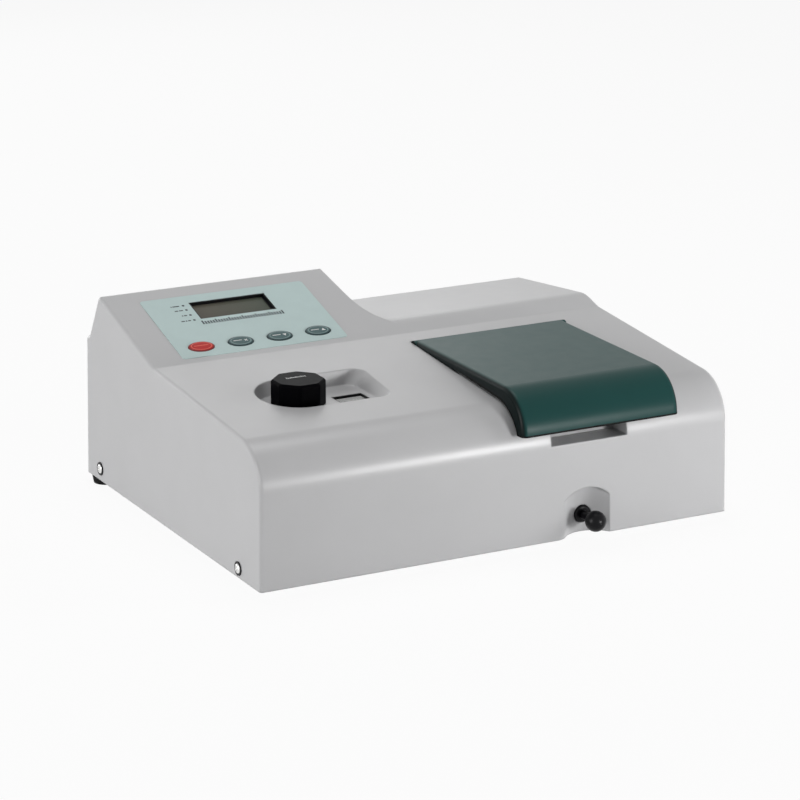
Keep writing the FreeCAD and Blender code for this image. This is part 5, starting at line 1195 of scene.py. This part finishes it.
class SPECTRO_OT_stage(Operator):
    """Add the floor, the camera, the lamps and the pale surroundings"""

    bl_idname = "spectro.stage"
    bl_label = "Stage"
    bl_options = {"REGISTER", "UNDO"}

    def execute(self, context):
        self.floor()
        self.camera()
        self.lamps()
        self.surroundings()
        context.scene.view_settings.view_transform = "Standard"
        return {"FINISHED"}

    def floor(self):
        mesh = bmesh.new()
        points = box_points(-FLOOR_REACH, FLOOR_REACH, -FLOOR_REACH, FLOOR_REACH)
        add_outline(mesh, points, -FLOOR_THICKNESS, 0.0, Matrix.Identity(4))
        data = bpy.data.meshes.new("floor")
        mesh.to_mesh(data)
        mesh.free()
        piece = bpy.data.objects.new("floor", data)
        bpy.context.scene.collection.objects.link(piece)
        data.materials.append(self.floor_material())

    def floor_material(self):
        """Pale and matt. Seen by the camera it is mostly its own white, and keeps the shadow."""
        material = bpy.data.materials.new("floor_card")
        sheet = NodeSheet(material)
        output = sheet.add("ShaderNodeOutputMaterial")
        card = sheet.add("ShaderNodeBsdfDiffuse")
        card.inputs["Color"].default_value = (*colours().floor, 1.0)
        glow = sheet.add("ShaderNodeEmission")
        glow.inputs["Color"].default_value = (*WHITE, 1.0)
        glow.inputs["Strength"].default_value = 1.0
        share = sheet.maths("MULTIPLY", seen_directly(sheet), FLOOR_GLOW_SHARE)
        sheet.blend(share, card, glow, output)
        return material

    def camera(self):
        data = bpy.data.cameras.new("camera")
        data.lens = CAMERA_LENS
        data.clip_end = CAMERA_FAR
        holder = bpy.data.objects.new("camera", data)
        bpy.context.scene.collection.objects.link(holder)
        roll = Matrix.Rotation(math.radians(CAMERA_ROLL), 4, "Z")
        holder.matrix_world = aimed(CAMERA_PLACE, CAMERA_TARGET) @ roll
        bpy.context.scene.camera = holder

    def lamps(self):
        for name, lamp in LAMPS.items():
            data = bpy.data.lights.new(name, "AREA")
            data.shape = "DISK"
            data.size = lamp.size
            data.energy = sizes().key_light * lamp.share
            holder = bpy.data.objects.new(name, data)
            holder.visible_camera = False
            holder.visible_glossy = lamp.gloss
            bpy.context.scene.collection.objects.link(holder)
            holder.matrix_world = aimed(lamp.place, lamp.target)

    def surroundings(self):
        """White where the camera and gloss see it, and faint as a light on the object."""
        world = bpy.data.worlds.new("studio")
        bpy.context.scene.world = world
        sheet = NodeSheet(world)
        output = sheet.add("ShaderNodeOutputWorld")
        skies = []
        for strength in (ROOM_LIGHT, 1.0):
            sky = sheet.add("ShaderNodeBackground")
            sky.inputs["Color"].default_value = (*WHITE, 1.0)
            sky.inputs["Strength"].default_value = strength
            skies.append(sky)
        sheet.blend(seen_directly(sheet), *skies, output)


PIECE_OPERATORS = (
    SPECTRO_OT_case, SPECTRO_OT_lid, SPECTRO_OT_inside, SPECTRO_OT_membrane, SPECTRO_OT_display,
    SPECTRO_OT_keys, SPECTRO_OT_knob, SPECTRO_OT_dial, SPECTRO_OT_screws, SPECTRO_OT_rear,
    SPECTRO_OT_stage,
)


class SPECTRO_PT_pieces(Panel):
    """Lists the piece operators, the sizes and the colours"""

    bl_label = "Spectrophotometer"
    bl_idname = "SPECTRO_PT_pieces"
    bl_space_type = "VIEW_3D"
    bl_region_type = "UI"
    bl_category = "Spectrophotometer"

    def draw(self, context):
        column = self.layout.column(align=True)
        for operator in PIECE_OPERATORS:
            column.operator(operator.bl_idname)
        scene = context.scene
        for values in (scene.spectrophotometer_sizes, scene.spectrophotometer_colours):
            self.layout.separator()
            for name in type(values).__annotations__:
                self.layout.prop(values, name)


CLASSES = (SpectrophotometerSizes, SpectrophotometerColours, *PIECE_OPERATORS, SPECTRO_PT_pieces)


def register():
    for cls in CLASSES:
        bpy.utils.register_class(cls)
    bpy.types.Scene.spectrophotometer_sizes = PointerProperty(type=SpectrophotometerSizes)
    bpy.types.Scene.spectrophotometer_colours = PointerProperty(type=SpectrophotometerColours)


def unregister():
    del bpy.types.Scene.spectrophotometer_colours
    del bpy.types.Scene.spectrophotometer_sizes
    for cls in reversed(CLASSES):
        bpy.utils.unregister_class(cls)


def main():
    register()
    for step in (
        bpy.ops.spectro.case, bpy.ops.spectro.lid, bpy.ops.spectro.inside, bpy.ops.spectro.membrane,
        bpy.ops.spectro.display, bpy.ops.spectro.keys, bpy.ops.spectro.knob, bpy.ops.spectro.dial,
        bpy.ops.spectro.screws, bpy.ops.spectro.rear, bpy.ops.spectro.stage,
    ):
        step()


if __name__ == "__main__":
    main()
